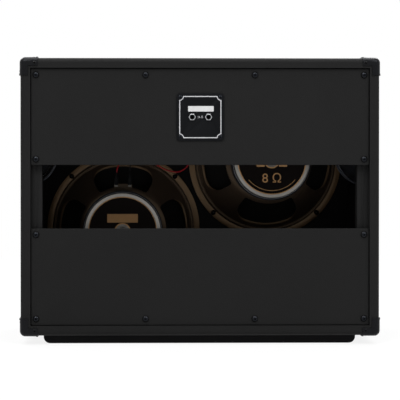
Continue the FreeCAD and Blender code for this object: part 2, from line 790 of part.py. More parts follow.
def make_corners(holes, screw):
    """Three-faced caps with an L-shaped rear face and raised rims at the ends of their legs."""
    inside = rounded_block("CornerInside", "bond")
    shell = cut(rounded_block("CornerOutside", "corner_wall"), inside)
    thick = cut(rounded_block("CornerRim", "corner_wall + corner_rim"), inside)
    top = "middle + out_z"
    deep = ("out_y - corner_leg", "out_y + corner_leg")
    leg_x = ("out_x - corner_leg", "out_x + corner_leg")
    leg_z = (f"{top} - corner_leg", f"{top} + corner_leg")
    rim_deep = ("out_y - corner_leg", "out_y - edge_round")
    rims = [
        common(thick, block("RimOnTop", ("out_x - corner_leg", "out_x - corner_leg + rim_width"), rim_deep,
                            (f"{top} - cover", f"{top} + corner_leg"))),
        common(thick, block("RimOnSide", ("out_x - cover", "out_x + corner_leg"), rim_deep,
                            (f"{top} - corner_leg", f"{top} - corner_leg + rim_width"))),
    ]
    notch = block("CornerNotch", ("out_x - 2 * corner_leg", "out_x - corner_arm"), ("out_y", "out_y + corner_leg"),
                  (f"{top} - 2 * corner_leg", f"{top} - corner_arm"))
    cap = cut(fuse(common(shell, block("CornerReach", leg_x, deep, leg_z)), *rims), notch, holes)
    rear = four_ways(cap)
    keep(group(rear), "rear_corner_protectors")
    keep(group([mirror(item, "y") for item in rear]), "front_corner_protectors")
    keep(at_corners(screw), "corner_screws")


# Side handles

def handle_cut_out():
    """The hole in the right side board for the handle's bowl."""
    corners, arcs = soft_rectangle("cut_z", "cut_y", "cut_round")
    body = plate("HandleCutOut", [(corners, arcs)], [], "4 * wall")
    return place(body, x="out_x + wall", z="middle + handle_rise", turn=Rotation(Vector(0, 1, 0), -90))


def bowl(name, grow, mouth):
    """The handle's bowl in the right side face, open at a mouth outside that face."""
    item = doc.addObject("Part::Ellipsoid", name)
    bind(item, Radius1=f"bowl_deep + {grow}", Radius2=f"bowl_high / 2 + {grow}", Radius3=f"bowl_long / 2 + {grow}",
         Angle2=f"asin(({mouth}) / (bowl_deep + {grow}))")
    return place(item, x="out_x", z="middle + handle_rise", turn=Rotation(Vector(0, 1, 0), 90))


def at_handle_screws(original):
    """Copies of a screw or its hole at the flange screws of both handles."""
    spots = [("out_x + lap_thick", f"{i} * (cut_y + lap - handle_screw_inset)",
              f"middle + handle_rise + {j} * (cut_z + lap - handle_screw_inset)")
             for i in (-1, 1) for j in (-1, 1)]
    right = group(copy_to(original, spots, Rotation(Vector(0, 1, 0), 90)))
    return group([right, mirror(right, "x")])


def make_handles(holes, screw):
    """Recessed handles: a bowl with a flange on the side face, and a grip bar across the bowl."""
    corners, arcs = soft_rectangle("cut_z + lap", "cut_y + lap", "cut_round")
    flange = plate("HandleFlange", [(corners, arcs)], [], "lap_thick")
    place(flange, x="out_x + lap_thick", z="middle + handle_rise", turn=Rotation(Vector(0, 1, 0), -90))
    outside = bowl("BowlOutside", "bowl_wall", "bond")
    dish = cut(fuse(flange, outside), bowl("BowlInside", "0", "lap_thick + bond"), holes)
    keep(dish, "right_handle_dish")
    keep(mirror(dish, "x"), "left_handle_dish")
    bar = rod("GripBar", "grip_dia / 2", "bowl_long")
    place(bar, "out_x - grip_in", "-bowl_long / 2", "middle + handle_rise + grip_up", ALONG_Y)
    grip = common(bar, bowl("GripEnds", "0", "bond"))
    keep(group([grip, mirror(grip, "x")]), "handle_grips")
    keep(at_handle_screws(screw), "handle_screws")


# Grille

def make_grille():
    """A wooden frame with cloth over its front, on pads that hold it to the baffle."""
    outside = rectangle("grille_x", "grille_z")
    inside = rectangle("grille_x - frame_bar", "grille_z - frame_bar")
    frame = plate("GrilleFrame", [(outside, None), (inside, None)], [], "frame_thick")
    keep(place(frame, y="baffle_front - pad_thick - frame_thick", z="middle", turn=REAR), "grille_frame")
    sheet_of_cloth = plate("GrilleCloth", [(outside, None)], [], "cloth")
    keep(place(sheet_of_cloth, y="grille_recess - out_y", z="middle", turn=REAR), "grille_cloth")
    pads = []
    for i in (-1, 0, 1):
        for j in (-1, 1):
            x, z = f"{i} * (grille_x - pad_long)", f"middle + {j} * (grille_z - frame_bar / 2)"
            pads.append(block("GrillePad", (f"{x} - pad_long / 2", f"{x} + pad_long / 2"),
                              ("baffle_front - pad_thick", "baffle_front"),
                              (f"{z} - pad_wide / 2", f"{z} + pad_wide / 2")))
    keep(group(pads), "grille_pads")


# Jack plate

def at_plate_screws(original):
    """Copies of a screw or its hole at the four corners of the jack plate."""
    spots = [(f"{i} * plate_hole / 2", "panel_back + plate_thick", f"middle + plate_up + {j} * plate_hole / 2")
             for i in (-1, 1) for j in (-1, 1)]
    return group(copy_to(original, spots, ALONG_Y))


def make_jack_plate(holes, screw):
    """The plate on the upper panel with two jacks, their nuts and the plate's screws."""
    corners, arcs = soft_rectangle("plate_side / 2", "plate_side / 2", "plate_round")
    jack_holes = [(f"{side} * jack_pitch / 2", "0", "bush_dia / 2 + bush_room") for side in (-1, 1)]
    body = plate("JackPlate", [(corners, arcs)], jack_holes, "plate_thick")
    place(body, y="panel_back", z="middle + plate_up", turn=REAR)
    keep(cut(body, holes), "jack_plate")
    keep(at_plate_screws(screw), "jack_plate_screws")

    half = "jack_wide / 2"
    housing = block("JackHousing", (f"-{half}", half), ("-jack_long", "0"), (f"-{half}", half))
    bush = place(rod("JackBush", "bush_dia / 2", "plate_thick + nut_thick + bush_proud"), turn=ALONG_Y)
    tags = [block("JackTag", ("-tag_wide / 2", "tag_wide / 2"), ("-jack_long - tag_long", "-jack_long"),
                  (f"{side} * tag_pitch / 2 - tag_thick / 2", f"{side} * tag_pitch / 2 + tag_thick / 2"))
            for side in (-1, 1)]
    mouth = "plate_thick + nut_thick + bush_proud"
    bore = place(rod("JackBore", "jack_bore / 2", "bore_deep + 1"), y=f"{mouth} - bore_deep", turn=ALONG_Y)
    jack = cut(fuse(housing, bush, *tags), bore)
    nut_block = doc.addObject("Part::Prism", "NutPrism")
    nut_block.Polygon = 6
    bind(nut_block, Circumradius="nut_flats / sqrt(3)", Height="nut_thick")
    nut = cut(nut_block, rod("NutBore", "bush_dia / 2 + bush_room", "nut_thick"))
    for label, side in (("input_jack", 1), ("link_jack", -1)):
        spot = (f"{side} * jack_pitch / 2", "panel_back", "middle + plate_up")
        keep(group(copy_to(jack, [spot])), label)
    nut_spots = [(f"{side} * jack_pitch / 2", "panel_back + plate_thick", "middle + plate_up")
                 for side in (-1, 1)]
    keep(group(copy_to(nut, nut_spots, ALONG_Y)), "jack_nuts")


# Leads

def rounded_path(points):
    """Straight runs joined by tangent arcs as large as the runs allow, and their radii."""
    edges = []
    radii = []
    start = points[0]
    for before, corner, after in zip(points, points[1:], points[2:]):
        back = (before - corner).normalize()
        ahead = (after - corner).normalize()
        turn = math.pi - back.getAngle(ahead)
        setback = ARC_SHARE * min((before - corner).Length, (after - corner).Length)
        radius = setback / math.tan(turn / 2)
        middle = (back + ahead).normalize()
        depth = radius / math.cos(turn / 2) - radius
        entry, leave = corner + back * setback, corner + ahead * setback
        edges.append(Part.LineSegment(start, entry).toShape())
        edges.append(Part.Arc(entry, corner + middle * depth, leave).toShape())
        radii.append(radius)
        start = leave
    edges.append(Part.LineSegment(start, points[-1]).toShape())
    return Part.Wire(edges), radii


def make_leads():
    """Leads as tubes along their routes."""
    for label, route in LEADS.items():
        path, radii = rounded_path([Vector(*point) for point in route])
        radius = value("lead_dia / 2")
        section = Part.Wire(Part.Circle(Vector(*route[0]), path.Edges[0].tangentAt(0), radius).toShape())
        tube = path.makePipeShell([section], True, False)
        ratio = tube.Volume / (math.pi * radius ** 2 * path.Length)
        print(f"{label}: length {path.Length:.1f} mm, volume to section times length {ratio:.4f}, "
              f"radii {min(radii):.1f} to {max(radii):.1f} mm")
        lead = doc.addObject("Part::Feature", "Lead")
        lead.Shape = tube
        keep(place(lead, z="middle"), label)


# Drivers

def in_driver(body, driver):
    """Set a body, drawn along a driver's axis, into the cabinet."""
    side = -1 if driver == "lower" else 1
    return place(body, f"-{side} * spread / 2", "baffle_back", f"middle + {side} * driver_rise / 2", REAR)


def window_loop():
    """Outline of one basket window: two arcs about the axis, radial sides and round corners."""
    outer, inner = "(window_out - window_corner)", "(window_in + window_nook)"
    swing_out = f"asin(window_corner / {outer})"
    swing_in = f"asin(window_nook / {inner})"
    half = "window_turn * 1 deg"
    right = [
        ("window_in", f"({half} - {swing_in})"), (f"{inner} * cos({swing_in})", f"({half})"),
        (f"{outer} * cos({swing_out})", f"({half})"), ("window_out", f"({half} - {swing_out})"),
    ]
    points = [(f"{radius} * sin({turn})", f"{radius} * cos({turn})") for radius, turn in right]
    points += [(f"-1 * {x}", y) for x, y in reversed(points)]
    arcs = {
        0: ("window_nook", -1), 2: ("window_corner", 1), 3: ("window_out", 1), 4: ("window_corner", 1),
        6: ("window_nook", -1), 7: ("window_in", -1),
    }
    return points, arcs


def notch_loop():
    """Outline of the open slot in the flange round one bolt, drawn along +x."""
    half = "(bolt_dia / 2 + bolt_room)"
    points = [
        ("bolt_r", f"-{half}"), ("frame_r + flange", f"-{half}"), ("frame_r + flange", half), ("bolt_r", half),
        (f"bolt_r - {half}", "0"),
    ]
    turned_points = [(f"(({x}) - ({y})) * sqrt(0.5)", f"(({x}) + ({y})) * sqrt(0.5)") for x, y in points]
    return turned_points, {3: (half, 1), 4: (half, 1)}


def make_basket(driver):
    """The pressed basket: flange, step, windowed funnel, spider seat, neck and nose."""
    front = [
        ("frame_r", "flange_front"), ("step_r", "flange_front"), ("step_r", "shoulder_s"),
        ("shoulder_r", "shoulder_s"), ("seat_out", "seat_s"), ("seat_in", "seat_s"),
        ("seat_in - neck_draw", "nose_s"), ("nose", "nose_s"),
    ]
    back = [
        ("nose", "nose_s + sheet"), ("seat_in - neck_draw + sheet", "nose_s + sheet"),
        ("seat_in + sheet", "seat_s + sheet"), ("seat_out + sheet", "seat_s + sheet"),
        ("shoulder_r + sheet", "shoulder_s + sheet"), ("step_r + sheet", "shoulder_s + sheet"),
        ("step_r + sheet", "flange_back"), ("frame_r", "flange_back"),
    ]
    body = turned("Basket", front + back)
    pierce(body, [window_loop()], [], 4)
    pierce(body, [notch_loop()], [], BOLTS)
    keep(in_driver(body, driver), f"{driver}_basket")


def make_gasket(driver):
    """The gasket over the flange and the edge of the surround."""
    step_in = "step_r + land + bond"
    body = turned("Gasket", [
        ("step_r + bond", "0"), ("frame_r - bond", "0"), ("frame_r - bond", "flange_front"),
        (step_in, "flange_front"), (step_in, "gasket"), ("step_r + bond", "gasket"),
    ])
    pierce(body, [], [(x, y, "bolt_dia / 2 + 2 * drill_room") for x, y in bolt_spots("0", "0")])
    keep(in_driver(body, driver), f"{driver}_gasket")


def make_surround(driver):
    """Two rolls between the flange and the cone's rim."""
    top, low = "gasket", "lip_s - skin"
    middle_r, middle_s = "(cone_r + step_r) / 2", f"({top} + {low}) / 2"
    face = [("cone_r - lip", low), ("cone_r", low), (middle_r, middle_s), ("step_r", top),
            ("step_r + land", top)]
    back = [(r, f"{s} + skin") for r, s in reversed(face)]
    arcs = {1: ("roll_radius", -1), 2: ("roll_radius", -1), 6: ("roll_radius", 1), 7: ("roll_radius", 1)}
    keep(in_driver(turned("Surround", face + back, arcs), driver), f"{driver}_surround")


def make_cone(driver):
    """The paper cone with its flat rim, and the dust cap in it."""
    cone = turned("Cone", [
        ("neck_r", "apex_s"), ("bowl_r", "lip_s"), ("cone_r", "lip_s"), ("cone_r", "lip_s + paper"),
        ("bowl_r", "lip_s + paper"), ("neck_r", "apex_s + paper"),
    ])
    keep(in_driver(cone, driver), f"{driver}_cone")
    rim, dome = "(cap_s - cap_paper)", "(cap_radius^2 + cap_rise^2) / (2 * cap_rise)"
    cap = turned("DustCap", [
        ("0", f"{rim} - cap_rise"), ("cap_radius", rim), ("cap_radius", "cap_s"),
        ("0", "cap_s - cap_rise"),
    ], {0: (dome, 1), 2: (dome, -1)})
    keep(in_driver(cap, driver), f"{driver}_dust_cap")


def make_spider(driver):
    """The corrugated spider between its seat and the coil former."""
    flat_in, flat_out = "neck_r + 2 * spider_cloth", "seat_in + bond"
    low, high = "seat_s - spider_dish - spider_cloth", "seat_s - spider_cloth"
    face = [("neck_r", low)]
    for index in range(SPIDER_WAVES + 1):
        share = f"{index} / {SPIDER_WAVES}"
        face.append((f"{flat_in} + ({flat_out} - ({flat_in})) * {share}", f"{low} + spider_dish * {share}"))
    face.append(("seat_in + spider_land", high))
    back = [(r, f"{s} + spider_cloth") for r, s in reversed(face)]
    arcs = {}
    last = len(face) + len(back) - 2
    for index in range(SPIDER_WAVES):
        sense = 1 if index % 2 else -1
        arcs[index + 1] = ("wave_radius", sense)
        arcs[last - index - 1] = ("wave_radius", -sense)
    keep(in_driver(turned("Spider", face + back, arcs), driver), f"{driver}_spider")


def make_coil(driver):
    """The voice coil: a former with its winding, centred in the magnet's gap."""
    middle_s = "plate_s + top_plate / 2"
    start, stop = f"{middle_s} - winding_long / 2", f"{middle_s} + winding_long / 2"
    body = turned("VoiceCoil", [
        ("former_in", "apex_s - former_front"), ("former_out", "apex_s - former_front"),
        ("former_out", start), ("coil_out", start), ("coil_out", stop), ("former_in", stop),
    ])
    keep(in_driver(body, driver), f"{driver}_voice_coil")


def make_magnet(driver):
    """Top plate, ring magnet, and back plate with its vented pole and screen."""
    top = turned("TopPlate", [
        ("coil_out + coil_gap", "plate_s"), ("top_dia / 2", "plate_s"), ("top_dia / 2", "magnet_s"),
        ("coil_out + coil_gap", "magnet_s"),
    ])
    keep(in_driver(top, driver), f"{driver}_top_plate")
    ferrite = turned("Magnet", [
        ("magnet_hole / 2", "magnet_s"), ("magnet_dia / 2 - back_chamfer", "magnet_s"),
        ("magnet_dia / 2", "magnet_s + back_chamfer"), ("magnet_dia / 2", "back_s - back_chamfer"),
        ("magnet_dia / 2 - back_chamfer", "back_s"), ("magnet_hole / 2", "back_s"),
    ])
    keep(in_driver(ferrite, driver), f"{driver}_magnet")
    yoke = turned("BackPlate", [
        ("vent / 2", "plate_s"), ("pole_r", "plate_s"), ("pole_r", "back_s"), ("back_dia / 2", "back_s"),
        ("back_dia / 2", "tail_s - back_chamfer"), ("back_dia / 2 - back_chamfer", "tail_s"),
        ("vent / 2", "tail_s"),
    ])
    keep(in_driver(yoke, driver), f"{driver}_back_plate")
    disc = turned("VentScreen", [
        ("0", "tail_s"), ("screen_dia / 2", "tail_s"), ("screen_dia / 2", "tail_s + screen / 2"),
        ("screen_dia / 2 - screen / 2", "tail_s + screen"), ("0", "tail_s + screen"),
    ])
    keep(in_driver(disc, driver), f"{driver}_vent_screen")


def make_terminals(driver):
    """The strip above the magnet with two push-on tabs."""
    strip = place(plate("Strip", [(rectangle("strip_wide / 2", "strip_high / 2"), None)], [], "strip_thick"),
                  y="strip_low + strip_high / 2", z="strip_s")
    tabs = [block("Tab", (f"{i} * tab_pitch / 2 - tab_wide / 2", f"{i} * tab_pitch / 2 + tab_wide / 2"),
                  ("strip_low + strip_high - tab_root", "tab_top"), ("tab_s", "tab_s + tab_thick"))
            for i in (-1, 1)]
    whole = fuse(strip, *tabs)
    keep(in_driver(whole, driver), f"{driver}_terminal_strip")


def make_bolts():
    """Flange bolts of both drivers and their tee nuts in the baffle."""
    bolt = round_screw("Bolt", "bolt_head", "bolt_crown", "bolt_edge", "bolt_dia", "flange_back + baffle_thick",
                       False)
    tee = turned("TeeNut", [
        ("bolt_dia / 2 + drill_room / 2", "-tee_thick"), ("tee_dia / 2", "-tee_thick"), ("tee_dia / 2", "0"),
        ("barrel / 2", "0"), ("barrel / 2", "barrel_long"), ("bolt_dia / 2 + drill_room / 2", "barrel_long"),
    ])
    spots = []
    for side in (-1, 1):
        spots += bolt_spots(f"{side} * -1 * spread / 2", f"middle + {side} * driver_rise / 2")
    keep(group(copy_to(bolt, [(x, "baffle_back + flange_back", z) for x, z in spots], ALONG_Y)), "speaker_bolts")
    keep(group(copy_to(tee, [(x, "baffle_front", z) for x, z in spots], ALONG_Y)), "speaker_tee_nuts")


# Whole cabinet

def make_cabinet():
    """Build every sub-part."""
    trim_screw = trim_screw_original()
    trim_hole = group([hole_rod("TrimDrill", "trim_shank", "trim_screw")])
    corner_holes = at_corners(trim_hole)
    handle_holes = at_handle_screws(trim_hole)
    plate_holes = at_plate_screws(trim_hole)
    panel_holes = panel_screw_holes()
    skid_holes = skid_screw_holes()
    make_box(corner_holes, handle_holes, skid_holes)
    make_baffle()
    make_cleats(panel_holes)
    make_rear_panels(panel_holes, plate_holes)
    make_panel_screws()
    make_skids(skid_holes)
    make_corners(corner_holes, trim_screw)
    make_handles(handle_holes, trim_screw)
    make_grille()
    make_jack_plate(plate_holes, trim_screw)
    make_leads()
    make_bolts()
    for driver in ("lower", "upper"):
        make_basket(driver)
        make_gasket(driver)
        make_surround(driver)
        make_cone(driver)
        make_spider(driver)
        make_coil(driver)
        make_magnet(driver)
        make_terminals(driver)


def write_parts():
    """Check every object of the document, then write each sub-part to its file."""
    doc.recompute()
    for item in doc.Objects:
        if "Invalid" in item.State or "Error" in item.State:
            raise RuntimeError(f"{item.Name} ({item.Label}) failed: {item.State}")
    for item in pieces:
        if item.Shape.isNull() or not item.Shape.isValid():
            raise RuntimeError(f"{item.Label} has no valid shape")
    os.makedirs("parts", exist_ok=True)
    for item in pieces:
        item.Shape.exportStep(f"parts/{item.Label}.step")
        print(f"{item.Label}: {len(item.Shape.Solids)} solids, {item.Shape.Volume:.0f} mm3")


make_cabinet()
write_parts()
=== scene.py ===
"""Looks of the open-back speaker cabinet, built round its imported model.

Sizes are in millimetres and turn into metres as a mesh is finished. Pieces that are seen from
behind are drawn in a rear frame: x to the right of somebody who looks at the open back, y up and
z towards them.
"""

import logging
import math
from collections.abc import Callable, Iterable, Sequence
from dataclasses import dataclass, field
from enum import Enum

import bmesh
import bpy
from mathutils import Matrix, Vector


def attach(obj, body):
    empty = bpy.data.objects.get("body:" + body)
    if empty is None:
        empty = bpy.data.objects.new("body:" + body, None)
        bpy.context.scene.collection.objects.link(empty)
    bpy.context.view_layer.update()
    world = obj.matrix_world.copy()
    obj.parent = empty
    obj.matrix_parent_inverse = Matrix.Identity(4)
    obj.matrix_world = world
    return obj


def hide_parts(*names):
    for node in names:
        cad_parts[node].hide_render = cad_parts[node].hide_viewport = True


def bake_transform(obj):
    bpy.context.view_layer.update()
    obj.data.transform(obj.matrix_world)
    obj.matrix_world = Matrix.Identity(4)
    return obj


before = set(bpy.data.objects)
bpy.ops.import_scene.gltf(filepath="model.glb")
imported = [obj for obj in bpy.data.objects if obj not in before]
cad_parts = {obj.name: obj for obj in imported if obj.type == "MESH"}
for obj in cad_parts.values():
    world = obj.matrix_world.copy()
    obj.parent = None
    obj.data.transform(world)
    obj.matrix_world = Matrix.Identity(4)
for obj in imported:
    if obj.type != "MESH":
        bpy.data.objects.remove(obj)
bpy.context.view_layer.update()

LOG = logging.getLogger("cabinet")
MM = 0.001
REAR = Matrix(((-1, 0, 0, 0), (0, 0, 1, 0), (0, 1, 0, 0), (0, 0, 0, 1)))
SIDES = (-1, 1)
CORNERS = ((1, 1), (-1, 1), (-1, -1), (1, -1))

# Sizes that several sub-assemblies share: the middle of the box over the floor, the outer face of
# its sides, the handles' height, the jack plate, the drivers' axes and bolts, and the grille cloth
UP = 271.5
SIDE_OUT = 330.01
BOWL_UP = UP + 83.0
PLATE_UP = UP + 146.35
PLATE_FACE = 143.0
DRIVER_ACROSS = 144.3105
DRIVER_RISE = 68.4
BOLT_RADIUS = 148.5
CLOTH = (619.8, 469.8)
YARNS = (238, 180)

Point = tuple[float, float, float]
Flat = tuple[float, float]
Colour = tuple[int, int, int]
Spot = tuple[Point, Point]
Piece = bpy.types.Object
Socket = bpy.types.NodeSocket


def rear(x: float, y: float, z: float) -> Matrix:
    """The rear frame, with its origin at a point of the cabinet."""
    return Matrix.Translation((x, y, z)) @ REAR


def linear(colour: Colour, share: float = 1.0) -> tuple[float, float, float, float]:
    """Turn a colour from 0 to 255 into the linear one that sockets take.

    Args:
        colour: The colour as a screen shows it.
        share: How much of its light is kept.

    Returns:
        Red, green, blue and an alpha of one.
    """
    parts = []
    for part in colour:
        value = part / 255
        value = value / 12.92 if value <= 0.04045 else ((value + 0.055) / 1.055) ** 2.4
        parts.append(min(1.0, value * share))
    return (*parts, 1.0)


# Node trees


class Desk:
    """A node tree in the making."""

    def __init__(self, tree: bpy.types.NodeTree) -> None:
        """Work on a tree."""
        self.tree = tree

    def feed(self, socket: Socket, value: object) -> None:
        """Link a socket to another one, or set its plain value."""
        if isinstance(value, Socket):
            self.tree.links.new(value, socket)
        else:
            socket.default_value = value

    def add(self, kind: str, inputs: dict | None = None, **settings: object) -> bpy.types.Node:
        """Add a node.

        Args:
            kind: Blender's name of the node.
            inputs: Values or sockets for its inputs, by name or number.
            settings: The node's own properties.

        Returns:
            The new node.
        """
        node = self.tree.nodes.new(kind)
        for key, value in settings.items():
            setattr(node, key, value)
        for key, value in (inputs or {}).items():
            self.feed(node.inputs[key], value)
        return node

    def out(self, kind: str, inputs: dict | None = None, **settings: object) -> Socket:
        """Add a node and give its first output."""
        return self.add(kind, inputs, **settings).outputs[0]

    def math(self, operation: str, first: object, second: object = 0.0,
             third: object = 0.0) -> Socket:
        """The result of a Math node."""
        return self.out("ShaderNodeMath", {0: first, 1: second, 2: third}, operation=operation)

    def product(self, first: object, *others: object) -> Socket:
        """All the values, multiplied one after the other."""
        for other in others:
            first = self.math("MULTIPLY", first, other)
        return first

    def spread(self, value: object, low: object, high: object, start: object = 0.0,
               stop: object = 1.0) -> Socket:
        """Map a value from start and stop to low and high, and keep it between them."""
        inputs = {
            "Value": value, "From Min": start, "From Max": stop, "To Min": low, "To Max": high}
        return self.out("ShaderNodeMapRange", inputs)


class Wrap(Enum):
    """What a pattern lies on."""

    SOLID = "Object"
    SURFACE = "UV"


class Bench(Desk):
    """The nodes of one material."""

    def __init__(self, name: str) -> None:
        """Start with a plain shader."""
        self.material = bpy.data.materials.new(name)
        self.material.use_nodes = True
        super().__init__(self.material.node_tree)
        self.shader = self.tree.nodes["Principled BSDF"]

    def place(self, wrap: Wrap = Wrap.SOLID, scale: Point = (1, 1, 1)) -> Socket:
        """Coordinates on the solid or along its surface, in metres times a scale."""
        where = self.add("ShaderNodeTexCoord").outputs[wrap.value]
        return self.out("ShaderNodeMapping", {"Vector": where, "Scale": scale})

    def noise(self, at: Socket, scale: float, detail: float = 2.0,
              rough: float = 0.5) -> Socket:
        """Soft noise from 0 to 1."""
        inputs = {"Vector": at, "Scale": scale, "Detail": detail, "Roughness": rough}
        return self.out("ShaderNodeTexNoise", inputs)

    def warp(self, at: Socket, scale: float, reach: float) -> Socket:
        """Coordinates pushed about by noise."""
        inputs = {"Vector": at, "Scale": scale, "Detail": 2.0}
        push = self.add("ShaderNodeTexNoise", inputs).outputs[1]
        inputs = {0: push, 1: (reach,) * 3, 2: at}
        return self.out("ShaderNodeVectorMath", inputs, operation="MULTIPLY_ADD")

    def pebbles(self, at: Socket, scale: float) -> Socket:
        """Distance from the middles of irregular cells."""
        inputs = {"Vector": at, "Scale": scale, "Smoothness": 0.35}
        return self.out("ShaderNodeTexVoronoi", inputs, feature="SMOOTH_F1")

    def bands(self, at: Socket, per_metre: float, axis: str) -> Socket:
        """Straight waves along an axis."""
        inputs = {"Vector": at, "Scale": per_metre * math.pi / 10}
        settings = {"wave_type": "BANDS", "bands_direction": axis}
        return self.add("ShaderNodeTexWave", inputs, **settings).outputs[1]

    def tint(self, value: object, low: tuple, high: tuple) -> Socket:
        """A colour between two linear ones."""
        node = self.add("ShaderNodeMix", {0: value, 6: low, 7: high}, data_type="RGBA")
        return node.outputs[2]

    def bump(self, height: object, reach: float, strength: float = 1.0,
             over: object = None) -> Socket:
        """A normal that a height has roughened, over another one if it is given."""
        inputs = {"Height": height, "Distance": reach, "Strength": strength}
        if over is not None:
            inputs["Normal"] = over
        return self.out("ShaderNodeBump", inputs)

    def coat(self, colour: object, roughness: object, normal: object = None) -> None:
        """Feed the shader's colour, roughness and normal."""
        self.feed(self.shader.inputs["Base Color"], colour)
        self.feed(self.shader.inputs["Roughness"], roughness)
        if normal is not None:
            self.feed(self.shader.inputs["Normal"], normal)


# Finishes


@dataclass(frozen=True)
class Finish:
    """A surface: its name, its colour from 0 to 255, and how it shines."""

    name: str
    colour: Colour
    roughness: float = 0.5
    gloss: float = 0.25
    metal: float = 0.0
    sheen: Colour = (255, 255, 255)

    def material(self) -> bpy.types.Material:
        """The finish's material, made the first time it is asked for."""
        found = bpy.data.materials.get(self.name)
        if found is not None:
            return found
        bench = Bench(self.name)
        bench.shader.inputs["Metallic"].default_value = self.metal
        bench.shader.inputs["Specular IOR Level"].default_value = self.gloss
        bench.shader.inputs["Specular Tint"].default_value = linear(self.sheen)
        self.dress(bench)
        return bench.material

    def dress(self, bench: Bench) -> None:
        """Lay the nodes that give the finish its detail."""
        raise NotImplementedError

    def shades(self, bench: Bench, value: object, depth: float) -> Socket:
        """The colour, darker and lighter by a share as a value runs from 0 to 1."""
        return bench.tint(value, linear(self.colour, 1 - depth), linear(self.colour, 1 + depth))

    def gleam(self, bench: Bench, value: object, depth: float) -> Socket:
        """The roughness, smoother and rougher by a depth."""
        smooth = max(0.03, self.roughness - depth)
        rough = min(1.0, self.roughness + depth)
        return bench.spread(value, smooth, rough)


@dataclass(frozen=True)
class GrainedVinyl(Finish):
    """Cloth-backed vinyl with a pebbled leather grain, and pale scuffs."""

    pebble: float = 820.0

    def dress(self, bench: Bench) -> None:
        """Pebbles over fine creases, with faint wear in large patches."""
        at = bench.place()
        loose = bench.warp(at, 420, 0.0011)
        cells = bench.pebbles(loose, self.pebble)
        creases = bench.noise(at, 3600, 3)
        patches = bench.noise(at, 11, 4, 0.6)
        streaks = bench.noise(bench.place(scale=(14, 30, 5)), 3, 5, 0.7)
        scuffs = bench.spread(streaks, 0.0, 1.0, 0.66, 0.8)
        worn = bench.math("MULTIPLY_ADD", scuffs, 0.35, patches)
        ground = self.shades(bench, worn, 0.22)
        pits = bench.spread(cells, 1.0, 0.0, 0.25, 0.75)
        colour = bench.tint(bench.math("MULTIPLY", pits, 0.25), ground, linear(self.colour, 1.35))
        relief = bench.bump(creases, 0.00004, 0.5)
        relief = bench.bump(bench.spread(cells, 1.0, 0.0, 0.1, 0.8), 0.00022, 0.55, relief)
        bench.coat(colour, self.gleam(bench, patches, 0.12), relief)


@dataclass(frozen=True)
class SprayedBoard(Finish):
    """Plywood under a thin matt spray, with its grain still to be felt."""

    along: Point = (5, 130, 130)
    figure: float = 0.5

    def dress(self, bench: Bench) -> None:
        """Long grain, overspray and dust."""
        at = bench.place(scale=self.along)
        grain = bench.noise(at, 1.6, 5, 0.65)
        mist = bench.noise(bench.place(), 900, 2)
        dust = bench.noise(bench.place(), 17, 4)
        colour = self.shades(bench, bench.math("MULTIPLY", grain, dust), self.figure)
        relief = bench.bump(mist, 0.00005, 0.4)
        bench.coat(colour, self.gleam(bench, dust, 0.1), bench.bump(grain, 0.0004, 0.5, relief))


@dataclass(frozen=True)
class MouldedPlastic(Finish):
    """Injection-moulded plastic with a spark-eroded texture and rubbed edges."""

    grit: float = 2300.0

    def dress(self, bench: Bench) -> None:
        """Fine grit, with smoother and paler patches where hands and floors rub."""
        at = bench.place()
        grit = bench.noise(at, self.grit, 2, 0.6)
        rubbed = bench.noise(at, 38, 5, 0.65)
        scratches = bench.noise(bench.place(scale=(240, 60, 18)), 4, 3)
        marks = bench.spread(scratches, 0.0, 1.0, 0.66, 0.74)
        wear = bench.math("MULTIPLY_ADD", marks, 0.3, rubbed)
        colour = self.shades(bench, wear, 0.3)
        relief = bench.bump(grit, 0.00006, 0.45)
        bench.coat(colour, self.gleam(bench, rubbed, 0.14), bench.bump(marks, 0.00003, 0.3, relief))


@dataclass(frozen=True)
class SprayedSteel(Finish):
    """Paint on pressed or turned steel, with some orange peel and settled dust."""

    peel: float = 520.0
    cloud: float = 0.12

    def dress(self, bench: Bench) -> None:
        """Orange peel, flecks and dust."""
        at = bench.place()
        peel = bench.noise(at, self.peel, 2)
        dust = bench.noise(at, 24, 5, 0.6)
        flecks = bench.noise(at, 2600, 1)
        specks = bench.math("MULTIPLY_ADD", flecks, 0.3, bench.math("MULTIPLY", dust, 0.7))
        colour = self.shades(bench, specks, 0.2)
        bench.coat(colour, self.gleam(bench, dust, self.cloud), bench.bump(peel, 0.00006, 0.3))


@dataclass(frozen=True)
class TurnedSteel(Finish):
    """Bare plated steel with the rings of the lathe."""

    rings: float = 2600.0

    def dress(self, bench: Bench) -> None:
        """Rings round the axis, and a few stains."""
        rings = bench.noise(bench.place(Wrap.SURFACE, (3, self.rings, 1)), 1.0, 3, 0.6)
        stains = bench.noise(bench.place(), 60, 5, 0.6)
        stained = bench.math("MULTIPLY", stains, bench.spread(rings, 0.6, 1.3))
        colour = self.shades(bench, stained, 0.22)
        bench.coat(colour, self.gleam(bench, stains, 0.1), bench.bump(rings, 0.00003, 0.35))


@dataclass(frozen=True)
class PlatedSteel(Finish):
    """Bright plating with hairline scratches."""

    def dress(self, bench: Bench) -> None:
        """Hairlines and cloudy patches."""
        hairs = bench.noise(bench.place(scale=(900, 120, 2400)), 1.0, 2)
        cloud = bench.noise(bench.place(), 150, 4)
        colour = self.shades(bench, cloud, 0.15)
        bench.coat(colour, self.gleam(bench, cloud, 0.07), bench.bump(hairs, 0.00002, 0.2))


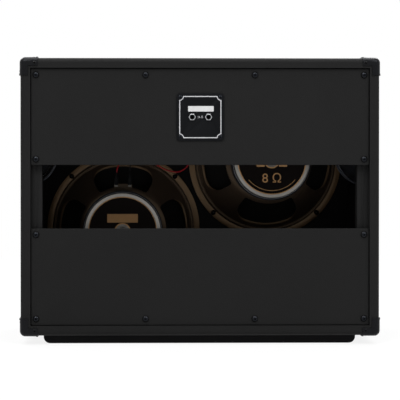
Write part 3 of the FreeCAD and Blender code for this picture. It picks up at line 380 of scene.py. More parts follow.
@dataclass(frozen=True)
class PressedPulp(Finish):
    """Felted paper pulp or card, with its fibres."""

    def dress(self, bench: Bench) -> None:
        """Fibres in two sizes."""
        at = bench.place()
        felt = bench.noise(at, 420, 6, 0.7)
        fibres = bench.noise(bench.warp(at, 260, 0.004), 1500, 3, 0.6)
        colour = self.shades(bench, felt, 0.45)
        relief = bench.bump(fibres, 0.0001, 0.4)
        bench.coat(colour, self.gleam(bench, felt, 0.08), bench.bump(felt, 0.0002, 0.4, relief))


@dataclass(frozen=True)
class ResinCloth(Finish):
    """Woven cloth set with resin, its threads running along the surface."""

    threads: float = 1150.0

    def dress(self, bench: Bench) -> None:
        """Crossing threads with uneven resin between them."""
        at = bench.place(Wrap.SURFACE)
        weave = bench.product(*(bench.bands(at, self.threads, axis) for axis in "XY"))
        resin = bench.noise(bench.place(), 130, 4)
        filled = bench.math("MULTIPLY", bench.math("ADD", weave, resin), 0.6)
        colour = self.shades(bench, filled, 0.35)
        bench.coat(colour, self.gleam(bench, resin, 0.1), bench.bump(weave, 0.00015, 0.6))


@dataclass(frozen=True)
class GrilleYarn(Finish):
    """Coarse basket cloth, in a dark yarn with a paler fleck."""

    def dress(self, bench: Bench) -> None:
        """Twisted yarn in each crossing of the weave, and a fleck in every few."""
        at = bench.place()
        twist = bench.bands(bench.place(scale=(1, 1, 0.6)), 1900, "DIAGONAL")
        fuzz = bench.noise(at, 2200, 3)
        wide, high = (size * MM / count for size, count in zip(CLOTH, YARNS))
        inputs = {0: at, 1: (1 / wide, 0, 1 / high), 2: (0.5, 0, 0.5 - UP * MM / high)}
        counted = bench.out("ShaderNodeVectorMath", inputs, operation="MULTIPLY_ADD")
        crossing = bench.out("ShaderNodeVectorMath", {0: counted}, operation="FLOOR")
        cells = bench.out("ShaderNodeTexWhiteNoise", {"Vector": crossing}, noise_dimensions="3D")
        fleck = bench.spread(cells, 0.0, 1.0, 0.55, 0.95)
        colour = bench.tint(fleck, linear(self.colour), linear(self.colour, 3.2))
        colour = bench.tint(bench.math("MULTIPLY", fuzz, 0.6), colour, linear(self.colour, 0.45))
        relief = bench.bump(fuzz, 0.0001, 0.5)
        bench.coat(colour, self.gleam(bench, fuzz, 0.08), bench.bump(twist, 0.0002, 0.6, relief))


@dataclass(frozen=True)
class WireJacket(Finish):
    """Extruded insulation, slightly uneven and handled."""

    def dress(self, bench: Bench) -> None:
        """Draw lines and finger marks."""
        at = bench.place()
        draw = bench.noise(at, 800, 2)
        hands = bench.noise(at, 90, 3)
        colour = self.shades(bench, hands, 0.18)
        bench.coat(colour, self.gleam(bench, hands, 0.1), bench.bump(draw, 0.00004, 0.3))


@dataclass(frozen=True)
class SinteredFerrite(Finish):
    """A pressed and fired magnet with grinding marks and grey dust."""

    def dress(self, bench: Bench) -> None:
        """Coarse pores and dust."""
        at = bench.place()
        pores = bench.noise(at, 1300, 4, 0.7)
        dust = bench.noise(at, 45, 5)
        colour = self.shades(bench, bench.math("MULTIPLY", pores, dust), 0.5)
        bench.coat(colour, self.gleam(bench, dust, 0.1), bench.bump(pores, 0.00012, 0.5))


@dataclass(frozen=True)
class WoundCopper(Finish):
    """Enamelled wire, wound turn by turn."""

    def dress(self, bench: Bench) -> None:
        """Turns along the axis of the driver."""
        turns = bench.bands(bench.place(), 2600, "Y")
        enamel = bench.noise(bench.place(), 200, 3)
        colour = self.shades(bench, enamel, 0.25)
        bench.coat(colour, self.gleam(bench, enamel, 0.08), bench.bump(turns, 0.0001, 0.6))


@dataclass(frozen=True)
class PrintedSheet(Finish):
    """Ink or paper: nearly even, with fine fibres and specks."""

    def dress(self, bench: Bench) -> None:
        """Fibres and specks."""
        at = bench.place()
        fibres = bench.noise(at, 1800, 4, 0.6)
        rub = bench.noise(at, 70, 4, 0.6)
        colour = self.shades(bench, bench.math("MULTIPLY", fibres, rub), 0.22)
        bench.coat(colour, self.gleam(bench, rub, 0.1), bench.bump(fibres, 0.00003, 0.3))


@dataclass(frozen=True)
class HookTape(Finish):
    """Hook-and-loop tape."""

    def dress(self, bench: Bench) -> None:
        """Dense small hooks."""
        hooks = bench.pebbles(bench.place(), 900)
        fuzz = bench.noise(bench.place(), 2500, 3)
        bench.coat(self.shades(bench, fuzz, 0.3), self.roughness, bench.bump(hooks, 0.0006, 0.8))


VINYL = GrainedVinyl("grained_vinyl", (23, 23, 23), 0.62, 0.09)
BOARD_ACROSS = SprayedBoard("sprayed_board_across", (15, 14, 14), 0.75, 0.12)
BOARD_UPRIGHT = SprayedBoard("sprayed_board_upright", (15, 14, 14), 0.75, 0.12, along=(130, 130, 5))
CLEAT = SprayedBoard("sprayed_cleat", (27, 27, 27), 0.65, 0.1, along=(110, 110, 6), figure=0.15)
SKID = MouldedPlastic("skid_lacquer", (15, 15, 16), 0.55, 0.06, grit=900)
MOULDED = MouldedPlastic("moulded_polymer", (12, 12, 13), 0.3, 0.12, sheen=(240, 244, 252))
HANDLE = MouldedPlastic("handle_polymer", (24, 25, 27), 0.3, 0.3, sheen=(222, 234, 255))
# Painted highlight: the bowl ribs are far paler than the handle's plastic, a light line on its edge
RIB_HIGHLIGHT = MouldedPlastic("rib_polymer", (74, 77, 84), 0.3, 0.4)
BLACK_SCREW = SprayedSteel("blackened_screw", (5, 5, 6), 0.2, 0.13)
OILED_SCREW = SprayedSteel("oiled_screw", (4, 4, 5), 0.17, 0.2, sheen=(226, 236, 255))
PLATE = SprayedSteel("plate_enamel", (14, 15, 17), 0.5, 0.05)
PLATE_INK = PrintedSheet("plate_ink", (196, 196, 199), 0.55, 0.15)
STICKER = PrintedSheet("sticker_paper", (206, 206, 207), 0.6, 0.15)
CHROME = PlatedSteel("nut_chrome", (176, 177, 180), 0.2, 0.5, 1.0)
JACK_BODY = MouldedPlastic("jack_polymer", (10, 10, 11), 0.45, 0.12)
TINNED = PlatedSteel("tinned_tag", (92, 90, 86), 0.45, 0.5, 1.0)
RED_WIRE = WireJacket("red_jacket", (124, 14, 22), 0.38, 0.14)
BLACK_WIRE = WireJacket("black_jacket", (9, 9, 10), 0.42, 0.1)
SLEEVE = WireJacket("sleeve_jacket", (8, 8, 9), 0.5, 0.07)
BASKET = SprayedSteel("basket_taupe", (63, 52, 43), 0.3, 0.27, sheen=(255, 222, 184), cloud=0.03)
# Painted light: the flange face is a paler copy of the basket's colour, lit brighter than the
# funnel
PAINTED_LIGHT_FLANGE = SprayedSteel("flange_taupe", (104, 82, 59), 0.32, 0.4, sheen=(255, 222, 184), cloud=0.03)
# Painted highlight: the window lips are paler than the basket's colour
LIP_HIGHLIGHT = SprayedSteel("lip_taupe", (86, 69, 51), 0.3, 0.34, sheen=(255, 222, 184), cloud=0.03)
CARD = PressedPulp("gasket_card", (58, 52, 45), 0.9, 0.1)
CONE = PressedPulp("cone_pulp", (22, 21, 20), 0.88, 0.1)
SURROUND = ResinCloth("surround_doped_cloth", (26, 25, 25), 0.55, 0.25, threads=900)
SPIDER = ResinCloth("spider_resin_cloth", (150, 104, 56), 0.75, 0.15)
COPPER = WoundCopper("wound_copper", (196, 120, 72), 0.3, 0.5, 0.9)
BARE_STEEL = TurnedSteel("turned_steel", (134, 131, 126), 0.42, 0.5, 0.85)
PLATED = PlatedSteel("zinc_plate", (150, 149, 145), 0.4, 0.5, 0.9)
FERRITE = SinteredFerrite("fired_ferrite", (42, 42, 44), 0.7, 0.15)
LABEL_DARK = PrintedSheet("label_umber", (17, 13, 11), 0.55, 0.03)
LABEL_TAN = PrintedSheet("label_tan", (176, 136, 92), 0.5, 0.15)
SCREEN = PlatedSteel("screen_wire", (120, 118, 114), 0.45, 0.4, 0.8)
STRIP = PressedPulp("strip_fibre", (70, 59, 47), 0.6, 0.1)
GLUE = WireJacket("glue_bead", (132, 134, 140), 0.4, 0.25)
GRILLE = GrilleYarn("grille_basket_cloth", (31, 30, 29), 0.85, 0.12)
HOOKS = HookTape("hook_tape_black", (20, 20, 20), 0.8, 0.1)


# Meshes

# Radius of a point on the axis, distances at which points count as one, the bend below which faces
# of the CAD are one, the bend above which a cut edge is softened, and a face's place on the map
ON_AXIS = 1e-6
WELD = 0.0005
CAD_WELD = 0.002
CAD_FLAT = 0.6
SOFTENED = 40
UNIT = ((0, 0), (1, 0), (1, 1), (0, 1))


def arc(centre: Flat, radius: float, start: float, stop: float, steps: int) -> list[Flat]:
    """Points on an arc.

    Args:
        centre: Its centre.
        radius: Its radius.
        start: Direction of the first point from the centre, in degrees.
        stop: Direction of the last point.
        steps: Spans between them.

    Returns:
        The points, both ends included.
    """
    turns = [math.radians(start + (stop - start) * i / steps) for i in range(steps + 1)]
    return [(centre[0] + radius * math.cos(t), centre[1] + radius * math.sin(t)) for t in turns]


def circle(radius: float, count: int) -> list[Flat]:
    """Points evenly round a circle."""
    return arc((0, 0), radius, 0, 360 - 360 / count, count - 1)


def scaled(line: Sequence[Flat], share: float) -> list[Flat]:
    """A line made larger or smaller."""
    return [(x * share, y * share) for x, y in line]


def raised(levels: Iterable[tuple[Sequence[Flat], float]]) -> list[list[Point]]:
    """Flat lines, each lifted to its own height."""
    return [[(x, y, z) for x, y in line] for line, z in levels]


def washer(inside: float, outside: float, low: float, high: float) -> list[Flat]:
    """Profile of a flat ring."""
    return [(inside, low), (outside, low), (outside, high), (inside, high)]


def soft_corners(points: Sequence[Flat], radii: Sequence[float], steps: int = 6) -> list[Flat]:
    """Round the inner corners of an open line.

    Args:
        points: Its corners, ends included.
        radii: A radius for each corner between the ends.
        steps: Spans on each arc.

    Returns:
        The line with arcs in place of its corners.
    """
    line = [points[0]]
    for before, corner, after, radius in zip(points, points[1:], points[2:], radii):
        spot = Vector(corner)
        back = (Vector(before) - spot).normalized()
        ahead = (Vector(after) - spot).normalized()
        half = back.angle(ahead) / 2
        middle = (back + ahead).normalized()
        centre = spot + middle * (radius / math.sin(half))
        entry = spot + back * (radius / math.tan(half))
        leave = spot + ahead * (radius / math.tan(half))
        first, last = (entry - centre), (leave - centre)
        sweep = first.angle_signed(last)
        for i in range(steps + 1):
            turn = Matrix.Rotation(-sweep * i / steps, 2)
            line.append(tuple(centre + turn @ first))
    line.append(points[-1])
    return line


def thickened(line: Sequence[Flat], thick: float) -> list[Flat]:
    """The closed outline of a bent sheet.

    Args:
        line: Middle of the sheet.
        thick: Its thickness.

    Returns:
        One side of the sheet and then the other, back to the start.
    """
    sides: tuple[list[Flat], list[Flat]] = ([], [])
    for i, spot in enumerate(line):
        here = Vector(spot)
        before = (here - Vector(line[i - 1])).normalized() if i else None
        after = (Vector(line[i + 1]) - here).normalized() if i + 1 < len(line) else None
        way = (before or after) + (after or before)
        way.normalize()
        normal = Vector((-way.y, way.x))
        reach = thick / 2 / max(0.5, way.dot(after or before))
        sides[0].append(tuple(here + normal * reach))
        sides[1].append(tuple(here - normal * reach))
    return sides[0] + sides[1][::-1]


def soft_rectangle(half_x: float, half_y: float, radius: float, steps: int = 6) -> list[Flat]:
    """Outline of a rectangle with round corners, starting at its right side."""
    points: list[Flat] = []
    for i, (sx, sy) in enumerate(CORNERS):
        centre = (sx * (half_x - radius), sy * (half_y - radius))
        points += arc(centre, radius, 90 * i, 90 * i + 90, steps)
    return points


class Draft:
    """A mesh in the making, drawn in millimetres."""

    def __init__(self) -> None:
        """Start empty, with a map of the surface in metres."""
        self.bm = bmesh.new()
        self.map = self.bm.loops.layers.uv.new("wrap")

    def face(self, corners: Sequence[bmesh.types.BMVert], spots: Sequence[Flat]) -> None:
        """Add a face with its place on the map; corners that meet at a pole count once."""
        kept = []
        for corner, spot in zip(corners, spots):
            if all(corner is not other for other, _ in kept):
                kept.append((corner, spot))
        if len(kept) < 3:
            return
        made = self.bm.faces.new([corner for corner, _ in kept])
        for loop, (_, spot) in zip(made.loops, kept):
            loop[self.map].uv = spot

    def lathe(self, profile: Sequence[Flat], steps: int = 96) -> "Draft":
        """Turn a closed profile of (radius, along) points round the z axis.

        Args:
            profile: The points; those on the axis become poles.
            steps: Spans round the axis.

        Returns:
            The draft itself.
        """
        count = len(profile)
        lengths = [0.0]
        for i, (radius, along) in enumerate(profile):
            ahead = profile[(i + 1) % count]
            lengths.append(lengths[-1] + math.hypot(ahead[0] - radius, ahead[1] - along))
        once = 2 * math.pi * max(radius for radius, _ in profile) * MM
        poles = {i: self.bm.verts.new((0, 0, along))
                 for i, (radius, along) in enumerate(profile) if radius < ON_AXIS}
        columns = []
        for step in range(steps):
            turn = 2 * math.pi * step / steps
            c, s = math.cos(turn), math.sin(turn)
            columns.append([poles.get(i) or self.bm.verts.new((radius * c, radius * s, along))
                            for i, (radius, along) in enumerate(profile)])
        for step in range(steps):
            here, there = columns[step], columns[(step + 1) % steps]
            left, right = once * step / steps, once * (step + 1) / steps
            for i in range(count):
                j = (i + 1) % count
                low, high = lengths[i] * MM, lengths[i + 1] * MM
                self.face((here[i], there[i], there[j], here[j]),
                          ((left, low), (right, low), (right, high), (left, high)))
        return self

    def loft(self, rows: Sequence[Sequence[Point]]) -> "Draft":
        """Skin a run of closed outlines and close both ends."""
        rings = [[self.bm.verts.new(point) for point in row] for row in rows]
        count = len(rows[0])
        for row, (low, high) in enumerate(zip(rings, rings[1:])):
            near, far = row * MM, row * MM + MM
            for i in range(count):
                j = (i + 1) % count
                left, right = i * MM, (i + 1) * MM
                self.face((low[i], low[j], high[j], high[i]),
                          ((left, near), (right, near), (right, far), (left, far)))
        self.bm.faces.new(rings[0][::-1])
        self.bm.faces.new(rings[-1])
        return self

    def prism(self, outline: Sequence[Flat], low: float, high: float) -> "Draft":
        """A flat outline, raised from low to high."""
        return self.loft(raised(((outline, low), (outline, high))))

    def belt(self, rows: Sequence[Sequence[Point]]) -> "Draft":
        """Skin a run of closed outlines, and the last of them to the first."""
        rings = [[self.bm.verts.new(point) for point in row] for row in rows]
        count = len(rows[0])
        for first, second in zip(rings, rings[1:] + rings[:1]):
            for i in range(count):
                j = (i + 1) % count
                self.face((first[i], first[j], second[j], second[i]), scaled(UNIT, MM))
        return self

    def take(self, *nodes: str) -> "Draft":
        """Copy CAD nodes into the draft, with their doubles merged."""
        for node in nodes:
            self.bm.from_mesh(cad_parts[node].data)
        bmesh.ops.scale(self.bm, vec=(1 / MM,) * 3, verts=self.bm.verts)
        bmesh.ops.remove_doubles(self.bm, verts=self.bm.verts, dist=CAD_WELD)
        bmesh.ops.dissolve_limit(self.bm, angle_limit=math.radians(CAD_FLAT), verts=self.bm.verts,
                                 edges=self.bm.edges, delimit=set())
        return self

    def ease(self, width: float, segments: int = 2, angle: float = 28) -> "Draft":
        """Round the edges that are sharper than an angle."""
        sharp = [edge for edge in self.bm.edges
                 if len(edge.link_faces) == 2 and edge.calc_face_angle(0) > math.radians(angle)]
        bmesh.ops.bevel(self.bm, geom=sharp, offset=width, offset_type="OFFSET", segments=segments,
                        profile=0.5, affect="EDGES", clamp_overlap=True)
        return self

    def place(self, matrix: Matrix) -> "Draft":
        """Move what is drawn so far."""
        bmesh.ops.transform(self.bm, matrix=matrix, verts=self.bm.verts)
        return self

    def shift(self, x: float, y: float, z: float = 0.0) -> "Draft":
        """Move what is drawn so far along the axes."""
        return self.place(Matrix.Translation((x, y, z)))

    def turn(self, degrees: float) -> "Draft":
        """Turn what is drawn so far about the z axis."""
        return self.place(Matrix.Rotation(math.radians(degrees), 4, "Z"))

    def join(self, other: "Draft") -> "Draft":
        """Add another draft, which is used up."""
        mesh = bpy.data.meshes.new("joined")
        other.bm.to_mesh(mesh)
        other.bm.free()
        self.bm.from_mesh(mesh)
        bpy.data.meshes.remove(mesh)
        return self

    def piece(self, name: str, finish: Finish, angle: float = 32) -> Piece:
        """Finish the draft.

        Args:
            name: The piece's name.
            finish: Its surface.
            angle: Edges sharper than this stay sharp, in degrees.

        Returns:
            The piece, at the origin, in metres.
        """
        bmesh.ops.remove_doubles(self.bm, verts=self.bm.verts, dist=WELD)
        bmesh.ops.recalc_face_normals(self.bm, faces=self.bm.faces)
        bmesh.ops.scale(self.bm, vec=(MM,) * 3, verts=self.bm.verts)
        mesh = bpy.data.meshes.new(name)
        self.bm.to_mesh(mesh)
        self.bm.free()
        mesh.materials.append(finish.material())
        return shaded(linked(name, mesh), angle)


def linked(name: str, data: bpy.types.ID | None) -> Piece:
    """A new object of the scene for a mesh, curve, lamp or camera."""
    piece = bpy.data.objects.new(name, data)
    bpy.context.scene.collection.objects.link(piece)
    return piece


def shaded(piece: Piece, angle: float = 32) -> Piece:
    """Shade a piece smooth, apart from edges sharper than an angle."""
    piece.data.shade_smooth()
    piece.data.set_sharp_from_angle(angle=math.radians(angle))
    return piece


def settle(piece: Piece, angle: float = 32) -> Piece:
    """Turn a piece's modifiers into plain mesh."""
    bpy.context.view_layer.update()
    graph = bpy.context.evaluated_depsgraph_get()
    mesh = bpy.data.meshes.new_from_object(
        piece.evaluated_get(graph), preserve_all_data_layers=True, depsgraph=graph)
    piece.modifiers.clear()
    piece.data = mesh
    return shaded(piece, angle)


def discard(*pieces: Piece) -> None:
    """Remove helpers that are used up."""
    for piece in pieces:
        bpy.data.objects.remove(piece, do_unlink=True)


def carve(piece: Piece, cutter: Piece, soften: float = 0.0) -> Piece:
    """Cut one shape out of another.

    Args:
        piece: What is cut.
        cutter: The tool, which is used up.
        soften: Width of the rounding on the edges, in millimetres.

    Returns:
        The cut piece.
    """
    cut = piece.modifiers.new("cut", "BOOLEAN")
    cut.operation = "DIFFERENCE"
    cut.solver = "EXACT"
    cut.object = cutter
    if soften:
        bevel = piece.modifiers.new("soften", "BEVEL")
        bevel.width = soften * MM
        bevel.segments = 2
        bevel.limit_method = "ANGLE"
        bevel.angle_limit = math.radians(SOFTENED)
        bevel.use_clamp_overlap = True
    settle(piece)
    discard(cutter)
    return piece


# Shapes that follow a rule


class Recipe(Desk):
    """A Geometry Nodes tree with named inputs, which ends as plain mesh."""

    def __init__(self, name: str) -> None:
        """Start with geometry in and out."""
        super().__init__(bpy.data.node_groups.new(name, "GeometryNodeTree"))
        for way in ("INPUT", "OUTPUT"):
            self.open("Geometry", "Geometry", way)
        self.source = self.tree.nodes.new("NodeGroupInput")
        self.names: dict[str, str] = {}

    def open(self, name: str, kind: str, way: str = "INPUT") -> str:
        """Open a socket of the whole tree and give its identifier."""
        kind = f"NodeSocket{kind}"
        return self.tree.interface.new_socket(name, in_out=way, socket_type=kind).identifier

    def ask(self, name: str, kind: str = "Float") -> Socket:
        """Add a named input of a kind: Float, Int, Object or Material."""
        self.names[name] = self.open(name, kind)
        return self.source.outputs[name]

    def vector(self, x: object = 0.0, y: object = 0.0, z: object = 0.0) -> Socket:
        """A vector from its parts."""
        return self.out("ShaderNodeCombineXYZ", {0: x, 1: y, 2: z})

    def position(self) -> Sequence[Socket]:
        """Where a point lies, as a socket for each of x, y and z."""
        here = self.out("GeometryNodeInputPosition")
        return self.add("ShaderNodeSeparateXYZ", {0: here}).outputs

    def end(self, geometry: Socket) -> None:
        """Realize what is made, give it its material and hand it out."""
        real = self.out("GeometryNodeRealizeInstances", {"Geometry": geometry})
        finish = self.ask("Finish", "Material")
        dressed = self.out("GeometryNodeSetMaterial", {"Geometry": real, "Material": finish})
        self.feed(self.tree.nodes.new("NodeGroupOutput").inputs[0], dressed)

    def make(self, name: str, values: dict[str, object], start: bpy.types.Mesh | None = None,
             thick: float = 0.0, angle: float = 32) -> Piece:
        """Run the tree.

        Args:
            name: The piece's name.
            values: Its inputs by name; lengths are in metres.
            start: A mesh for the tree to start from.
            thick: Wall given to an open surface, in metres.
            angle: Edges sharper than this stay sharp, in degrees.

        Returns:
            The piece as a plain mesh.
        """
        piece = linked(name, start or bpy.data.meshes.new(name))
        modifier = piece.modifiers.new("shape", "NODES")
        modifier.node_group = self.tree
        for key, value in values.items():
            modifier[self.names[key]] = value
        if thick:
            wall = piece.modifiers.new("wall", "SOLIDIFY")
            wall.thickness = thick
            wall.offset = 0.0
            wall.use_even_offset = True
        return settle(piece, angle)


class FastenerRecipe(Recipe):
    """One fastener on every point, turned to face the point's own way."""

    def __init__(self) -> None:
        """Lay the tree."""
        super().__init__("fasteners_on_points")
        shape = self.ask("Fastener", "Object")
        swing = self.ask("Swing")
        seed = self.ask("Seed", "Int")
        facing = self.out("GeometryNodeInputNamedAttribute", {"Name": "facing"},
                          data_type="FLOAT_VECTOR")
        upright = self.out("FunctionNodeAlignRotationToVector", {"Vector": facing}, axis="Z")
        limits = {2: self.math("MULTIPLY", swing, -1.0), 3: swing, 8: seed}
        chance = self.add("FunctionNodeRandomValue", limits, data_type="FLOAT").outputs[1]
        spin = self.out("FunctionNodeAxisAngleToRotation", {"Axis": (0, 0, 1), "Angle": chance})
        turn = self.out("FunctionNodeRotateRotation", {0: upright, 1: spin}, rotation_space="LOCAL")
        item = self.add("GeometryNodeObjectInfo", {"Object": shape}, transform_space="ORIGINAL")
        self.end(self.out("GeometryNodeInstanceOnPoints", {
            "Points": self.source.outputs[0], "Instance": item.outputs["Geometry"],
            "Rotation": turn}))


class SweptRecipe(Recipe):
    """A corrugated ring, open in the middle: rolls or waves between two flat lands."""

    def __init__(self) -> None:
        """Lay the tree: a square grid is bent round the axis, waved and closed at its seam."""
        super().__init__("corrugated_ring")
        seam = 0.00001
        inner, outer = self.ask("Inner radius"), self.ask("Outer radius")
        start, stop = self.ask("Waves from"), self.ask("Waves to")
        low, high = self.ask("Inner height"), self.ask("Outer height")
        waves, reach = self.ask("Waves"), self.ask("Wave height")
        lean = self.ask("One sided")
        grid = self.out("GeometryNodeMeshGrid", {
            "Size X": 1.0, "Size Y": 1.0, "Vertices X": self.ask("Round", "Int"),
            "Vertices Y": self.ask("Across", "Int")})
        x, y, _ = self.position()
        radius = self.spread(y, inner, outer, -0.5, 0.5)
        turn = self.math("MULTIPLY", x, 2 * math.pi)
        share = self.spread(radius, 0.0, 1.0, start, stop)
        phase = self.product(share, waves, 2 * math.pi)
        even = self.math("SINE", phase)
        rolled = self.math("SUBTRACT", 1.0, self.math("COSINE", phase))
        wave = self.out("ShaderNodeMix", {0: lean, 2: even, 3: rolled}, data_type="FLOAT")
        rise = self.math("MULTIPLY", wave, reach)
        height = self.math("ADD", self.spread(share, low, high), rise)
        place = self.vector(self.math("MULTIPLY", radius, self.math("COSINE", turn)),
                            self.math("MULTIPLY", radius, self.math("SINE", turn)), height)
        flat = self.vector(self.math("MULTIPLY", turn, outer), radius)
        mapped = self.out("GeometryNodeStoreNamedAttribute", {
            "Geometry": grid, "Name": "wrap", "Value": flat}, data_type="FLOAT2", domain="CORNER")
        bent = self.out("GeometryNodeSetPosition", {"Geometry": mapped, "Position": place})
        self.end(self.out("GeometryNodeMergeByDistance", {"Geometry": bent, "Distance": seam}))


class WeaveRecipe(Recipe):
    """Flat cloth whose yarns rise and dip at each crossing."""

    def __init__(self) -> None:
        """Lay the tree: a grid with every second crossing raised."""
        super().__init__("basket_weave")
        width, height = self.ask("Width"), self.ask("Height")
        columns, rows = self.ask("Columns", "Int"), self.ask("Rows", "Int")
        relief = self.ask("Relief")
        grid = self.out("GeometryNodeMeshGrid", {
            "Size X": width, "Size Y": height, "Vertices X": columns, "Vertices Y": rows})
        x, y, _ = self.position()
        waves = []
        for size, count, along in ((width, columns, x), (height, rows, y)):
            share = self.math("ADD", self.math("DIVIDE", along, size), 0.5)
            steps = self.product(share, self.math("SUBTRACT", count, 1.0), math.pi)
            waves.append(self.math("COSINE", steps))
        lift = self.vector(z=self.product(*waves, relief))
        self.end(self.out("GeometryNodeSetPosition", {"Geometry": grid, "Offset": lift}))


class ScreenRecipe(Recipe):
    """A round screen of crossing wires."""

    def __init__(self) -> None:
        """Lay the tree: wires as long as the circle allows, and the same again crosswise."""
        super().__init__("wire_screen")
        radius, pitch, wire = self.ask("Radius"), self.ask("Pitch"), self.ask("Wire")
        count = self.ask("Wires", "Int")
        first = self.product(self.math("SUBTRACT", count, 1.0), pitch, -0.5)
        row = self.out("GeometryNodeMeshLine", {
            "Count": count, "Start Location": self.vector(first), "Offset": self.vector(pitch)},
            mode="OFFSET")
        along = self.position()[0]
        square = self.math("SUBTRACT", *(self.math("POWER", v, 2.0) for v in (radius, along)))
        half = self.math("SQRT", self.math("MAXIMUM", square, 0.0))
        chord = self.math("MULTIPLY", half, 2.0)
        rod = self.out("GeometryNodeMeshCylinder", {"Vertices": 6, "Radius": wire, "Depth": 1.0})
        laid = self.out("GeometryNodeTransform", {
            "Geometry": rod, "Rotation": (math.pi / 2, 0, 0)})
        wires = self.out("GeometryNodeInstanceOnPoints", {
            "Points": row, "Instance": laid, "Scale": self.vector(1.0, chord, 1.0)})
        crossed = self.out("GeometryNodeTransform", {
            "Geometry": wires, "Translation": self.vector(z=wire),
            "Rotation": (0, 0, math.pi / 2)})
        both = self.add("GeometryNodeJoinGeometry")
        for layer in (wires, crossed):
            self.feed(both.inputs[0], layer)
        self.end(both.outputs[0])


# Sub-assemblies


class Assembly:
    """What the sub-assemblies share: handing a piece to the frame, and dressing CAD nodes."""

    def hand_in(self, piece: Piece, slot: str | None = None, nodes: Iterable[str] = (),
                body: str = "cabinet") -> Piece:
        """Hide the CAD nodes that a piece stands for, log them, and let it ride on a body.

        Args:
            piece: The finished piece.
            slot: Not used.
            nodes: CAD nodes that it replaces.
            body: Body that it moves with.

        Returns:
            The piece.
        """
        if nodes:
            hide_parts(*nodes)
        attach(piece, body)
        LOG.info("%s: %s", piece.name, ", ".join(nodes) or "added")
        return piece

    def dress(self, finish: Finish, *nodes: str) -> None:
        """Give CAD nodes a finish."""
        for node in nodes:
            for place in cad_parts[node].material_slots:
                place.material = finish.material()
            LOG.info("%s: %s", node, finish.name)

    def eased(self, name: str, finish: Finish, slot: str, width: float, *nodes: str) -> Piece:
        """A copy of CAD nodes with rounded edges, in their place."""
        return self.hand_in(Draft().take(*nodes).ease(width).piece(name, finish), slot, nodes)


@dataclass(frozen=True)
class Screw:
    """A screw with a domed head: its head's width, crown and edge, its shank and its length."""

    head: float
    crown: float
    edge: float
    shank: float
    length: float


